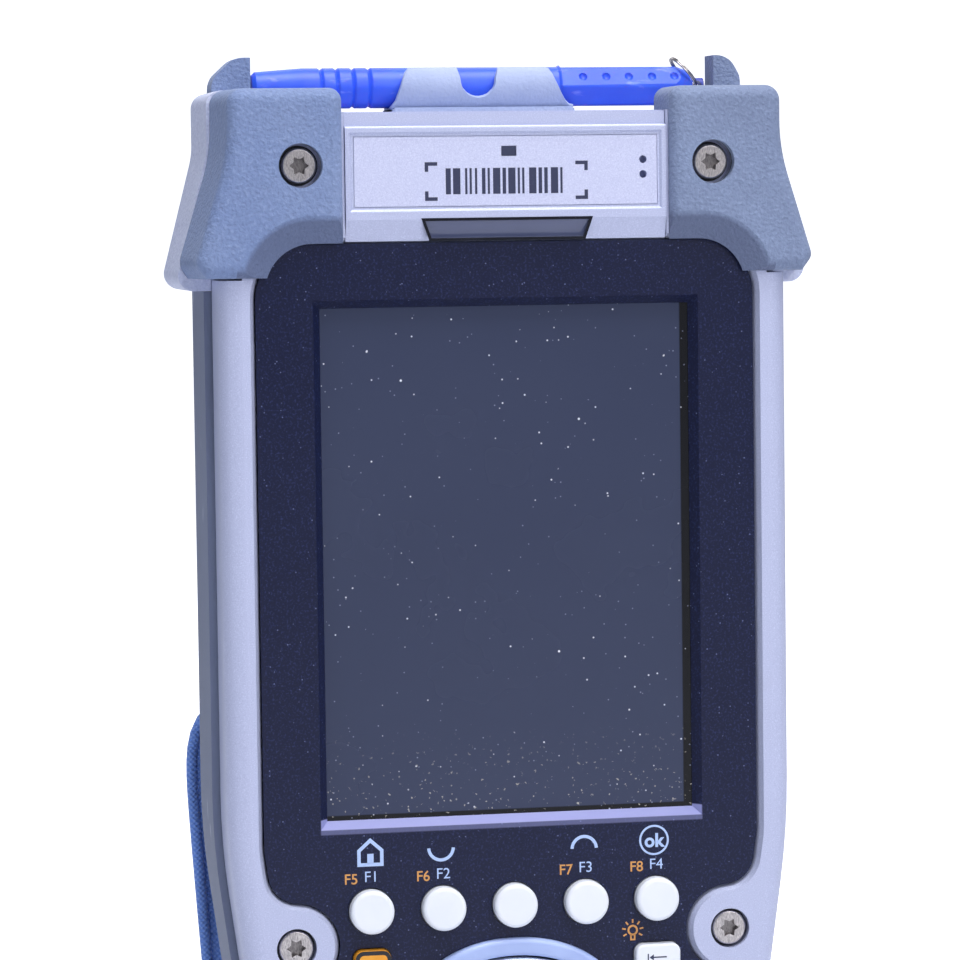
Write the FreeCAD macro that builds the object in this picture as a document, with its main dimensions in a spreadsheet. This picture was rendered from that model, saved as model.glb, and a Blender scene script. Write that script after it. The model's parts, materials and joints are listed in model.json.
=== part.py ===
"""Rugged handheld data terminal, as a parametric assembly of separate pieces.

Millimetres. +Z is up with the terminal standing on its base, +X is to the right and the
display faces -Y. The origin is in the middle of the flat base. Depths are places along Y.
"""
import FreeCAD, Part
import math
import os
import re

import Sketcher
from FreeCAD import Vector

DRIVING = {
    # Depths of the stack, from the bumpers' front to the back face.
    "bumper_front": -18.0,
    "cover_front": -16.2,
    "silver_front": -15.8,
    "bezel_front": -15.0,
    "bezel_back": -13.4,
    "ledge_front": -13.3,
    "ledge_back": -12.1,
    "split_front": -6.5,
    "split_back": -5.9,
    "shoulder_front": -6.6,
    "bay_floor": 1.0,
    "back_face": 15.0,
    # Body outline: straight sides, a taper, then straight sides down to the base.
    "body_half": 45.0,
    "grip_half": 39.5,
    "taper_top": 70.0,
    "taper_low": 30.0,
    "taper_blend": 120.0,
    "inner_blend": 12.0,
    "shell_top": 158.4,
    "back_extra": 1.2,
    "base_corner": 3.0,
    "side_round": 3.4,
    "wall_in": 4.0,
    # Head, between and behind the bumpers.
    "head_half": 41.5,
    "head_top": 184.0,
    "head_shell_low": 156.7,
    # Navy bezel and its window.
    "bezel_inset": 5.6,
    "bezel_top": 163.8,
    "bezel_low": 6.0,
    "bezel_round": 8.5,
    "bezel_gap": 0.15,
    "rim_bevel_wide": 1.6,
    "rim_bevel_deep": 0.8,
    "window_mid": 114.0,
    "window_half_wide": 30.5,
    "window_half_tall": 41.1,
    "window_taper": 38.0,
    # Fasteners.
    "low_screw_x": 34.67,
    "low_screw_z": 54.72,
    "top_screw_x": 32.47,
    "top_screw_z": 175.84,
    "lobe_radius": 6.8,
    "lobe_chord": 4.2,
    "head_radius": 2.72,
    "head_tall": 1.8,
    "shank_radius": 1.49,
    "thread_radius": 1.5,
    "clear_radius": 1.7,
    "torx_outer": 1.55,
    "torx_inner": 1.0,
    "torx_deep": 1.1,
    # Keys.
    "key_pitch": 11.4,
    "app_key_z": 60.0,
    "app_key_radius": 3.45,
    "app_key_front": -17.0,
    "key_front": -16.6,
    "key_gap": 0.2,
    "flange_wide": 0.5,
    "flange_deep": 0.4,
    "num_half_wide": 4.0,
    "num_half_tall": 2.5,
    "num_top_z": 29.6,
    "num_drop": 6.6,
    "shift_z_high": 50.4,
    "edit_z_high": 50.0,
    "side_z_low": 38.5,
    "shift_half_wide": 2.9,
    "shift_half_tall": 3.6,
    "edit_half_wide": 3.6,
    "edit_half_tall": 2.9,
    "key_corner": 1.4,
    "key_edge": 0.45,
    # Five-way navigation key.
    "nav_z": 44.4,
    "nav_half_wide": 16.5,
    "nav_half_tall": 10.4,
    "nav_ring_wide": 2.8,
    "nav_gap": 0.4,
    "nav_ring_front": -16.4,
    "nav_pad_front": -16.8,
    "nav_pad_back": -14.4,
    "nav_pivot": -13.3,
    "carrier_radius": 5.0,
    # Bumpers.
    "bumper_in": 25.8,
    "bumper_top": 187.7,
    "bumper_top_half": 44.9,
    "bumper_low_half": 50.2,
    "bumper_low": 158.7,
    "bumper_waist": 178.0,
    "bumper_draft": 1.5,
    "bumper_draft_deep": 11.2,
    "bumper_corner": 2.4,
    "scallop_out": 42.3,
    "scallop_top": 168.2,
    "scallop_round": 11.8,
    "scallop_slope": 63.0,
    "scallop_deep": 2.6,
    "notch_out": 37.2,
    "notch_corner": 35.6,
    "notch_top": 163.1,
    "notch_round": 6.0,
    "strip_out": 41.2,
    "strip_top": 187.0,
    "ear_in": 37.4,
    "ear_out_left": 43.6,
    "ear_out_right": 41.8,
    "ear_shoulder": 189.6,
    "ear_top": 193.0,
    "ear_front": 0.5,
    "ear_back": 6.0,
    "bumper_bore": 3.4,
    # Silver cover between the bumpers.
    "cover_half": 25.3,
    "cover_back": -14.0,
    "cover_low": 164.1,
    "cover_high": 183.8,
    "plate_half": 23.9,
    "plate_low": 169.4,
    "plate_high": 180.1,
    "plate_deep": 0.3,
    "lens_top_half": 13.2,
    "lens_low_half": 12.1,
    "lens_low": 164.3,
    "lens_high": 167.3,
    # Stylus and its clip.
    "stylus_y": 4.0,
    "stylus_z": 188.2,
    "stylus_radius": 3.2,
    "stylus_left": -36.9,
    "stylus_end": 33.9,
    "stylus_right": 36.4,
    "grip_left": 12.7,
    "grip_flat": 3.05,
    "grip_radius": 3.45,
    "dimple_radius": 0.8,
    "dimple_deep": 0.4,
    "clip_left": -15.0,
    "clip_right": 14.3,
    "clip_wall": 1.5,
    "clip_gap": 0.15,
    "clip_top": 190.9,
    "clip_flange": 185.0,
    "clip_dip": 186.45,
    "trough_low": 183.2,
    "neck_radius": 1.3,
    "ring_x": 35.2,
    "ring_radius": 2.9,
    "ring_wire": 0.35,
    "ring_lean": -40.0,
    # Battery, latch, connector.
    "bay_half": 29.0,
    "bay_low": 14.0,
    "bay_high": 96.0,
    "bay_gap": 0.2,
    "latch_half": 8.0,
    "latch_throw": 3.2,
    "guide_x": 24.0,
    "guide_y": 6.0,
    "guide_radius": 1.6,
    "guide_deep": 5.0,
    # Hand strap.
    "pin_y": 18.6,
    "pin_radius": 1.25,
    "pin_half": 23.0,
    "pin_low_z": 6.5,
    "pin_high_z": 112.0,
    "lug_in": 20.2,
    "lug_half_tall": 3.6,
    "strap_half": 18.5,
    "strap_thick": 1.6,
    "loop_radius": 3.1,
    "strap_reach": 35.6,
    "pad_half": 46.4,
    "pad_low": 22.0,
    "pad_high": 91.0,
}

doc = FreeCAD.newDocument("DataTerminal")
sheet = doc.addObject("Spreadsheet::Sheet", "Sizes")
for row, (alias, number) in enumerate(DRIVING.items(), start=1):
    sheet.set(f"A{row}", alias)
    sheet.set(f"B{row}", str(number))
    sheet.setAlias(f"B{row}", alias)
doc.recompute()

ALONG_X = "YZ_Plane"
ALONG_Y = "XZ_Plane"
ALONG_Z = "XY_Plane"
pieces = []


# ---------------------------------------------------------------- formulas and sketches
def bound(text):
    """Turn a formula written with aliases into an expression that reads the sheet."""
    return re.sub(r"[a-z][a-z_]+", lambda word: "Sizes." + word.group(), str(text))


def value(text):
    return float(sheet.evalExpression(bound(text)))


def new_piece(name):
    body = doc.addObject("PartDesign::Body", name)
    body.Label = name
    pieces.append(body)
    return body


def new_sketch(body, plane, depth):
    """Sketch on the body's own plane, moved to a depth along that plane's axis."""
    item = body.newObject("Sketcher::SketchObject", body.Name + "_sketch")
    support = next(feature for feature in body.Origin.OriginFeatures if feature.Role == plane)
    item.AttachmentSupport = [(support, "")]
    item.MapMode = "FlatFace"
    sign = "-" if plane == ALONG_Y else ""
    item.setExpression("AttachmentOffset.Base.z", f"{sign}({bound(depth)})")
    return item


def fix_size(item, index, text):
    item.setExpression(f"Constraints[{index}]", bound(text))


def fix_point(item, geometry, end, across, up):
    """Tie one end of a line, or a centre, to its place in the sketch."""
    for kind, text, axis in (("DistanceX", across, -2), ("DistanceY", up, -1)):
        if abs(value(text)) < 1e-9:
            item.addConstraint(Sketcher.Constraint("PointOnObject", geometry, end, axis))
        else:
            size = Sketcher.Constraint(kind, -1, 1, geometry, end, value(text))
            fix_size(item, item.addConstraint(size), text)


def polygon(*corners):
    def draw(item):
        first = item.GeometryCount
        count = len(corners)
        spots = [Vector(value(across), value(up), 0) for across, up in corners]
        for index in range(count):
            item.addGeometry(Part.LineSegment(spots[index], spots[(index + 1) % count]), False)
        for index in range(count):
            following = first + (index + 1) % count
            item.addConstraint(Sketcher.Constraint("Coincident", first + index, 2, following, 1))
        for index in range(count):
            fix_point(item, first + index, 1, *corners[index])
    return draw


def rectangle(left, right, low, high):
    return polygon((left, low), (right, low), (right, high), (left, high))


def key_shape(across, up, half_wide, half_tall, grow="0"):
    left = f"{across} - {half_wide} - {grow}"
    right = f"{across} + {half_wide} + {grow}"
    return rectangle(left, right, f"{up} - {half_tall} - {grow}", f"{up} + {half_tall} + {grow}")


def disc(across, up, radius):
    def draw(item):
        centre = Vector(value(across), value(up), 0)
        index = item.addGeometry(Part.Circle(centre, Vector(0, 0, 1), value(radius)), False)
        fix_point(item, index, 3, across, up)
        size = Sketcher.Constraint("Radius", index, value(radius))
        fix_size(item, item.addConstraint(size), radius)
    return draw


def oval(across, up, half_wide, half_tall):
    def draw(item):
        centre = Vector(value(across), value(up), 0)
        index = item.addGeometry(Part.Ellipse(centre, value(half_wide), value(half_tall)), False)
        item.exposeInternalGeometry(index)
        fix_point(item, index, 3, across, up)
        item.addConstraint(Sketcher.Constraint("Horizontal", index + 1))
        for line, text in ((index + 1, half_wide), (index + 2, half_tall)):
            size = Sketcher.Constraint("Distance", line, 1, line, 2, 2 * value(text))
            fix_size(item, item.addConstraint(size), f"2 * ({text})")
    return draw


def chopped_disc(across, up, radius, side):
    """A disc with the part beyond a chord cut off; side is 1 or -1, where the chord is."""
    def draw(item):
        centre = Vector(value(across), value(up), 0)
        full = Part.Circle(centre, Vector(0, 0, 1), value(radius))
        half_angle = math.acos(value("lobe_chord") / value(radius))
        start = half_angle if side > 0 else half_angle - math.pi
        finish = start + 2 * math.pi - 2 * half_angle
        arc = item.addGeometry(Part.ArcOfCircle(full, start, finish), False)
        curve = item.Geometry[arc]
        line = item.addGeometry(Part.LineSegment(curve.EndPoint, curve.StartPoint), False)
        item.addConstraint(Sketcher.Constraint("Coincident", arc, 2, line, 1))
        item.addConstraint(Sketcher.Constraint("Coincident", line, 2, arc, 1))
        fix_point(item, arc, 3, across, up)
        size = Sketcher.Constraint("Radius", arc, value(radius))
        fix_size(item, item.addConstraint(size), radius)
        item.addConstraint(Sketcher.Constraint("Vertical", line))
        chord = f"{across} + {side} * lobe_chord"
        place = Sketcher.Constraint("DistanceX", -1, 1, line, 1, value(chord))
        fix_size(item, item.addConstraint(place), chord)
    return draw


def torx(across, up):
    """Six-lobed driver recess."""
    corners = []
    for step in range(12):
        radius = "torx_outer" if step % 2 == 0 else "torx_inner"
        angle = step * math.pi / 6
        corners.append((f"{across} + {math.cos(angle):.5f} * {radius}",
                        f"{up} + {math.sin(angle):.5f} * {radius}"))
    return polygon(*corners)


# ---------------------------------------------------------------- features
def add_feature(body, kind, item, length, backwards, slope):
    feature = body.newObject("PartDesign::" + kind, f"{body.Name}_{kind.lower()}")
    feature.Profile = item
    feature.setExpression("Length", bound(length))
    feature.Reversed = backwards
    if slope != "0":
        feature.setExpression("TaperAngle", bound(slope))
    doc.recompute()
    return feature


def add(body, start, end, *outlines, plane=ALONG_Y, slope="0"):
    """Pad the outlines from one depth to a greater one."""
    item = new_sketch(body, plane, start)
    for draw in outlines:
        draw(item)
    return add_feature(body, "Pad", item, f"({end}) - ({start})", plane == ALONG_Y, slope)


def cut(body, start, end, *outlines, plane=ALONG_Y, slope="0"):
    """Pocket the outlines from one depth to a greater one, and insist that it removed something."""
    before = body.Tip.Shape.Volume
    item = new_sketch(body, plane, start)
    for draw in outlines:
        draw(item)
    feature = add_feature(body, "Pocket", item, f"({end}) - ({start})", plane != ALONG_Y, slope)
    if not feature.Shape.Volume < before:
        raise RuntimeError(f"{feature.Name} cut nothing")
    return feature


def edge_ends(edge):
    points = [vertex.Point for vertex in edge.Vertexes]
    return points if len(points) == 2 else [points[0], points[0]]


def runs_in_depth(*places, reach=0.3):
    """Straight edges parallel to Y that stand at one of the given (x, z) places."""
    spots = [(value(across), value(up)) for across, up in places]

    def wanted(edge):
        start, end = edge_ends(edge)
        if abs(start.y - end.y) < 0.05 or math.hypot(start.x - end.x, start.z - end.z) > 1e-4:
            return False
        return any(math.hypot(start.x - x, start.z - z) < reach for x, z in spots)
    return wanted


def lies_at_depth(depth, test=lambda middle: True):
    """Edges that lie in the plane Y = depth and whose middle passes a test."""
    place = value(depth)

    def wanted(edge):
        box = edge.BoundBox
        if abs(box.YMin - place) > 1e-3 or abs(box.YMax - place) > 1e-3:
            return False
        return test(edge.CenterOfMass)
    return wanted


def dress(body, kind, size, wanted, other_size=None):
    base = body.Tip
    names = [f"Edge{n}" for n, edge in enumerate(base.Shape.Edges, start=1) if wanted(edge)]
    if not names:
        raise RuntimeError(f"{body.Name}: no edge to dress")
    feature = body.newObject("PartDesign::" + kind, f"{body.Name}_{kind.lower()}")
    feature.Base = (base, names)
    feature.setExpression("Radius" if kind == "Fillet" else "Size", bound(size))
    if other_size:
        feature.ChamferType = "Two distances"
        feature.setExpression("Size2", bound(other_size))
    doc.recompute()
    if feature.Shape.isNull() or not feature.Shape.isValid():
        raise RuntimeError(f"{feature.Name} failed with size {size}")
    return feature


def fillet(body, size, wanted):
    return dress(body, "Fillet", size, wanted)


def chamfer(body, size, wanted, other_size=None):
    return dress(body, "Chamfer", size, wanted, other_size)


def both_sides(*places):
    return [(f"{side}({across})", up) for side in ("", "-") for across, up in places]


# ---------------------------------------------------------------- outlines that pieces share
def grip_outline(inset, low, top):
    """The tapered outline of the body, drawn in by an inset."""
    wide = f"body_half - ({inset})"
    slim = f"grip_half - ({inset})"
    right = [(slim, low), (slim, "taper_low"), (wide, "taper_top"), (wide, top)]
    left = [(f"-({across})", up) for across, up in reversed(right)]
    return polygon(*right, *left)


def taper_places(inset):
    return both_sides((f"grip_half - ({inset})", "taper_low"), (f"body_half - ({inset})", "taper_top"))


def corner_places(half, up):
    return both_sides((half, up))


def low_screws(draw_one):
    return [draw_one(f"{side}low_screw_x", "low_screw_z") for side in ("", "-")]


def top_screws(draw_one):
    return [draw_one(f"{side}top_screw_x", "top_screw_z") for side in ("", "-")]


def lobe_junctions(body, inset):
    """Edges where a screw lobe meets the side of the bezel recess: (upper, lower) tests."""
    low_z = value("low_screw_z")

    def near_lobe(edge):
        start, end = edge_ends(edge)
        if abs(start.y - end.y) < 0.05 or math.hypot(start.x - end.x, start.z - end.z) > 1e-4:
            return False
        reach = math.hypot(abs(start.x) - value("low_screw_x"), start.z - low_z)
        return abs(reach - value(f"lobe_radius + {inset}")) < 0.02

    def upper(edge):
        return near_lobe(edge) and edge.CenterOfMass.z > low_z

    def lower(edge):
        return near_lobe(edge) and edge.CenterOfMass.z < low_z
    return upper, lower


def around_recess(middle):
    """Whether an edge of the housing's front belongs to the bezel recess or a screw lobe."""
    slope = (value("body_half") - value("grip_half")) / (value("taper_top") - value("taper_low"))
    rise = min(max(middle.z - value("taper_low"), 0), value("taper_top") - value("taper_low"))
    half = value("grip_half") + slope * rise
    return abs(middle.x) < half - 4.3 and value("bezel_low") - 1 < middle.z < value("bezel_top") + 1


# ---------------------------------------------------------------- casings
def make_front_housing():
    body = new_piece("front_housing")
    add(body, "silver_front", "split_front", grip_outline("0", "0", "shell_top"))
    fillet(body, "taper_blend", runs_in_depth(*taper_places("0")))
    fillet(body, "base_corner", runs_in_depth(*corner_places("grip_half", "0")))
    fillet(body, "side_round", lies_at_depth("silver_front", lambda middle: middle.z < 158))
    add(body, "silver_front", "split_front", rectangle("-head_half", "head_half", "155", "head_top"))
    recess = "bezel_inset - bezel_gap"
    cut(body, "silver_front", "ledge_front",
        grip_outline(recess, "bezel_low - bezel_gap", "bezel_top + bezel_gap"))
    fillet(body, "inner_blend", runs_in_depth(*taper_places(recess)))
    add(body, "silver_front", "split_front",
        chopped_disc("low_screw_x", "low_screw_z", "lobe_radius", 1),
        chopped_disc("-low_screw_x", "low_screw_z", "lobe_radius", -1))
    upper, lower = lobe_junctions(body, "0")
    fillet(body, "5", upper)
    fillet(body, "2.5", lower)
    top_corners = corner_places(f"body_half - ({recess})", "bezel_top + bezel_gap")
    fillet(body, "bezel_round + bezel_gap", runs_in_depth(*top_corners))
    low_corners = corner_places(f"grip_half - ({recess})", "bezel_low - bezel_gap")
    fillet(body, "4", runs_in_depth(*low_corners))
    chamfer(body, "rim_bevel_deep", lies_at_depth("silver_front", around_recess), "rim_bevel_wide")
    cut(body, "ledge_front", "split_front",
        rectangle("-30.5", "30.5", "window_mid - 41.3", "window_mid + 41.3"),
        rectangle("-27.7", "27.7", "6.3", "64.8"))
    cut(body, "ledge_back", "split_front", grip_outline("wall_in", "4", "157"))
    add(body, "ledge_back", "split_front", *low_screws(lambda x, z: disc(x, z, "4.2")))
    cut(body, "-12", "split_front", rectangle("-26", "26", "160", "181"))
    cut(body, "silver_front", "cover_back",
        rectangle("-(cover_half + 0.1)", "cover_half + 0.1", "bezel_top + bezel_gap", "head_top + 1"))
    cut(body, "silver_front", "silver_front + 2.35", *low_screws(lambda x, z: disc(x, z, "3.15")))
    cut(body, "silver_front", "silver_front + 1.3", *top_screws(lambda x, z: disc(x, z, "bumper_bore")))
    cut(body, "silver_front", "split_front",
        *low_screws(lambda x, z: disc(x, z, "clear_radius")),
        *top_screws(lambda x, z: disc(x, z, "clear_radius")))
    return body


def make_back_housing():
    body = new_piece("back_housing")
    add(body, "split_back", "back_face", grip_outline("-back_extra", "0", "head_shell_low - 0.1"))
    fillet(body, "taper_blend", runs_in_depth(*taper_places("-back_extra")))
    fillet(body, "base_corner", runs_in_depth(*corner_places("grip_half + back_extra", "0")))
    fillet(body, "7", lies_at_depth("back_face", lambda middle: 0.5 < middle.z < 156))
    cut(body, "split_back", "-1", grip_outline("2.8", "3", "154"))
    cut(body, "-1", "12.6", rectangle("-40", "40", "108", "154"))
    add(body, "split_back", "-0.5", *low_screws(lambda x, z: disc(x, z, "4")))
    cut(body, "split_back", "5", *low_screws(lambda x, z: disc(x, z, "thread_radius")))
    cut(body, "bay_floor", "back_face", rectangle("-bay_half", "bay_half", "bay_low", "bay_high"))
    cut(body, "12.9", "back_face",
        rectangle("-(latch_half + 0.3)", "latch_half + 0.3", "bay_high - 1", "bay_high + 9.6"))
    cut(body, "2.4", "10.6", rectangle("-13", "13", "-1", "8"))
    cut(body, "0", "guide_deep", disc("guide_x", "guide_y", "guide_radius"),
        disc("-guide_x", "guide_y", "guide_radius"), plane=ALONG_Z)
    lugs = []
    for side in ("", "-"):
        for place in ("pin_low_z", "pin_high_z"):
            inner, outer = f"{side}lug_in", f"{side}(pin_half)"
            low, high = f"{place} - lug_half_tall", f"{place} + lug_half_tall"
            lugs.append(polygon((inner, low), (outer, low), (outer, high), (inner, high)))
    add(body, "back_face - 1", "pin_y + 3.2", *lugs)
    cut(body, "-(pin_half) - 1", "pin_half + 1", disc("pin_y", "pin_low_z", "pin_radius + 0.05"),
        disc("pin_y", "pin_high_z", "pin_radius + 0.05"), plane=ALONG_X)
    return body


def make_head_shell():
    body = new_piece("head_shell")
    half_low = "bumper_low_half + 0.7"
    half_top = "bumper_top_half + 0.5"
    add(body, "shoulder_front + 0.1", "back_face",
        polygon((f"-({half_low})", "head_shell_low"), (half_low, "head_shell_low"),
                (half_top, "bumper_waist"), (half_top, "bumper_top"),
                ("strip_out + 0.1", "bumper_top"), ("strip_out + 0.1", "head_top"),
                ("-(strip_out + 0.1)", "head_top"), ("-(strip_out + 0.1)", "bumper_top"),
                (f"-({half_top})", "bumper_top"), (f"-({half_top})", "bumper_waist")))
    fillet(body, "12", runs_in_depth(*corner_places(half_top, "bumper_waist")))
    fillet(body, "2.5", runs_in_depth(*corner_places(half_low, "head_shell_low")))
    fillet(body, "bumper_corner", runs_in_depth(*corner_places(half_top, "bumper_top")))
    fillet(body, "2.5", lies_at_depth("back_face", lambda middle: middle.z < value("head_top - 1")
                                      or abs(middle.x) > value("strip_out") + 1))
    cut(body, "shoulder_front", "split_back",
        rectangle("-(head_half + 0.05)", "head_half + 0.05", "shell_top", "head_top + 1"))
    cut(body, "shoulder_front", "split_back",
        rectangle("-(body_half + 0.1)", "body_half + 0.1", "head_shell_low - 1", "shell_top + 0.1"))
    cut(body, "split_back", "12.6", rectangle("-26", "26", "160", "181"))
    cut(body, "split_back", "5", *top_screws(lambda x, z: disc(x, z, "thread_radius")))
    cut(body, "12", "back_face", rectangle("-15", "15", "164", "178"))
    cut(body, "ear_front - 0.1", "ear_back + 0.1",
        rectangle("-(ear_out_left + 0.1)", "-(strip_out - 1)", "head_top", "ear_top"),
        rectangle("strip_out - 1", "ear_out_right + 0.1", "head_top", "ear_top"))
    cut(body, "stylus_y - 5.2", "stylus_y + 5.2",
        rectangle("clip_left - 0.15", "clip_right + 0.15", "trough_low", "head_top + 1"))
    return body


def make_bezel():
    body = new_piece("keypad_bezel")
    add(body, "bezel_front", "bezel_back", grip_outline("bezel_inset", "bezel_low", "bezel_top"))
    fillet(body, "inner_blend", runs_in_depth(*taper_places("bezel_inset")))
    cut(body, "bezel_front", "bezel_back",
        *low_screws(lambda x, z: disc(x, z, "lobe_radius + bezel_gap")))
    upper, lower = lobe_junctions(body, "bezel_gap")
    fillet(body, "5 - bezel_gap", upper)
    fillet(body, "2.5 - bezel_gap", lower)
    fillet(body, "bezel_round", runs_in_depth(*corner_places("body_half - bezel_inset", "bezel_top")))
    fillet(body, "4 - bezel_gap", runs_in_depth(*corner_places("grip_half - bezel_inset", "bezel_low")))
    cut(body, "bezel_front", "bezel_back",
        rectangle("-window_half_wide", "window_half_wide", "window_mid - window_half_tall",
                  "window_mid + window_half_tall"), slope="-window_taper")
    holes = [disc(f"{column} * key_pitch", "app_key_z", "app_key_radius + key_gap")
             for column in range(-2, 3)]
    holes.append(oval("0", "nav_z", "nav_half_wide + 0.05", "nav_half_tall + 0.05"))
    cut(body, "bezel_front", "bezel_back", *holes)
    places = list(SIDE_KEYS.values())
    for row, names in enumerate(NUMBER_ROWS):
        places += [number_place(row, column, len(names)) for column in range(len(names))]
    cut(body, "bezel_front", "bezel_back", *[key_shape(*place, "key_gap") for place in places])
    corners = [corner for place in places for corner in shape_corners(*place)]
    fillet(body, "key_corner + key_gap", runs_in_depth(*corners))
    return body


def number_place(row, column, count):
    """Where a number key stands: its row down the pad and its column from the middle."""
    return (f"{column - count // 2} * key_pitch", f"num_top_z - {row} * num_drop",
            "num_half_wide", "num_half_tall")


NUMBER_ROWS = [
    ["key_left_1", "key_1", "key_2", "key_3", "key_right_1"],
    ["key_left_2", "key_4", "key_5", "key_6", "key_right_2"],
    ["key_left_3", "key_7", "key_8", "key_9", "key_right_3"],
    ["key_power", "key_0", "key_enter"],
]


# name: (x, z, half width, half height) of the four keys beside the navigation key
SIDE_KEYS = {
    "key_gold": ("-2 * key_pitch", "shift_z_high", "shift_half_wide", "shift_half_tall"),
    "key_blue": ("-2 * key_pitch", "side_z_low", "shift_half_wide", "shift_half_tall"),
    "key_tab": ("2 * key_pitch", "edit_z_high", "edit_half_wide", "edit_half_tall"),
    "key_esc": ("2 * key_pitch", "side_z_low", "edit_half_wide", "edit_half_tall"),
}


def make_display():
    touch = new_piece("touch_panel")
    add(touch, "ledge_front", "ledge_back + 0.1",
        rectangle("-30.25", "30.25", "window_mid - 41", "window_mid + 41"))
    lcd = new_piece("lcd_panel")
    add(lcd, "ledge_back + 0.15", "-10.4",
        rectangle("-32", "32", "window_mid - 42.5", "window_mid + 42.4"))
    tray = new_piece("backlight_tray")
    add(tray, "-10.3", "-7.4", rectangle("-33", "33", "window_mid - 43.5", "window_mid + 42.6"))
    cut(tray, "-10.3", "-8.6", rectangle("-31.6", "31.6", "window_mid - 42", "window_mid + 41.2"))


def make_gasket():
    body = new_piece("housing_gasket")
    add(body, "split_front + 0.02", "split_back - 0.02", grip_outline("1.2", "1.2", "157.2"))
    cut(body, "split_front", "split_back", grip_outline("2.6", "2.6", "155.8"))


def make_boards():
    membrane = new_piece("keypad_membrane")
    add(membrane, "-11.9", "-10.9", rectangle("-27.4", "27.4", "4.8", "65.2"))
    board = new_piece("keypad_board")
    add(board, "-10.8", "-9.8", rectangle("-27.4", "27.4", "4.8", "65.2"))
    main = new_piece("main_board")
    right = [("29", "6"), ("29", "62"), ("40", "68.5"), ("40", "152")]
    left = [(f"-{across}", up) for across, up in reversed(right)]
    add(main, "-5.5", "-4.3", polygon(*right, *left))


# ---------------------------------------------------------------- keys
def make_key(name, shape, back_shape, front, edge_size):
    """A cap that stands through the bezel, on a wider flange that the bezel holds in."""
    body = new_piece(name)
    add(body, front, "ledge_front", shape)
    if len(body.Tip.Shape.Faces) > 3:
        fillet(body, "key_corner", lambda edge: edge.BoundBox.YLength > 1)
    fillet(body, edge_size, lies_at_depth(front))
    add(body, "ledge_front", "ledge_front + flange_deep", back_shape)
    return body


def shape_corners(across, up, half_wide, half_tall):
    """The four corners of a key's opening in the bezel."""
    return [(f"{across} {x} ({half_wide} + key_gap)", f"{up} {z} ({half_tall} + key_gap)")
            for x in "+-" for z in "+-"]


def make_keys():
    for number, column in enumerate(range(-2, 3), start=1):
        x = f"{column} * key_pitch"
        make_key(f"app_key_{number}", disc(x, "app_key_z", "app_key_radius"),
                 disc(x, "app_key_z", "app_key_radius + flange_wide"), "app_key_front", "0.7")
    for name, place in SIDE_KEYS.items():
        make_key(name, key_shape(*place), key_shape(*place, "flange_wide"), "key_front", "key_edge")
    for row, names in enumerate(NUMBER_ROWS):
        for column, name in enumerate(names):
            place = number_place(row, column, len(names))
            make_key(name, key_shape(*place), key_shape(*place, "flange_wide"), "key_front",
                     "key_edge")


def make_navigation():
    ring = new_piece("nav_ring")
    add(ring, "nav_ring_front", "bezel_back", oval("0", "nav_z", "nav_half_wide", "nav_half_tall"))
    cut(ring, "nav_ring_front", "bezel_back",
        oval("0", "nav_z", "nav_half_wide - nav_ring_wide", "nav_half_tall - nav_ring_wide"))
    fillet(ring, "0.8", lies_at_depth("nav_ring_front"))
    pad = new_piece("nav_pad")
    add(pad, "nav_pad_front", "nav_pad_back",
        oval("0", "nav_z", "nav_half_wide - nav_ring_wide - nav_gap",
             "nav_half_tall - nav_ring_wide - nav_gap"))
    fillet(pad, "0.7", lies_at_depth("nav_pad_front"))
    add(pad, "nav_pad_back", "nav_pivot", disc("0", "nav_z", "1.8"))
    carrier = new_piece("nav_carrier")
    add(carrier, "nav_pivot + 0.3", "nav_pivot + 0.9", disc("0", "nav_z", "carrier_radius"))


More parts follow.
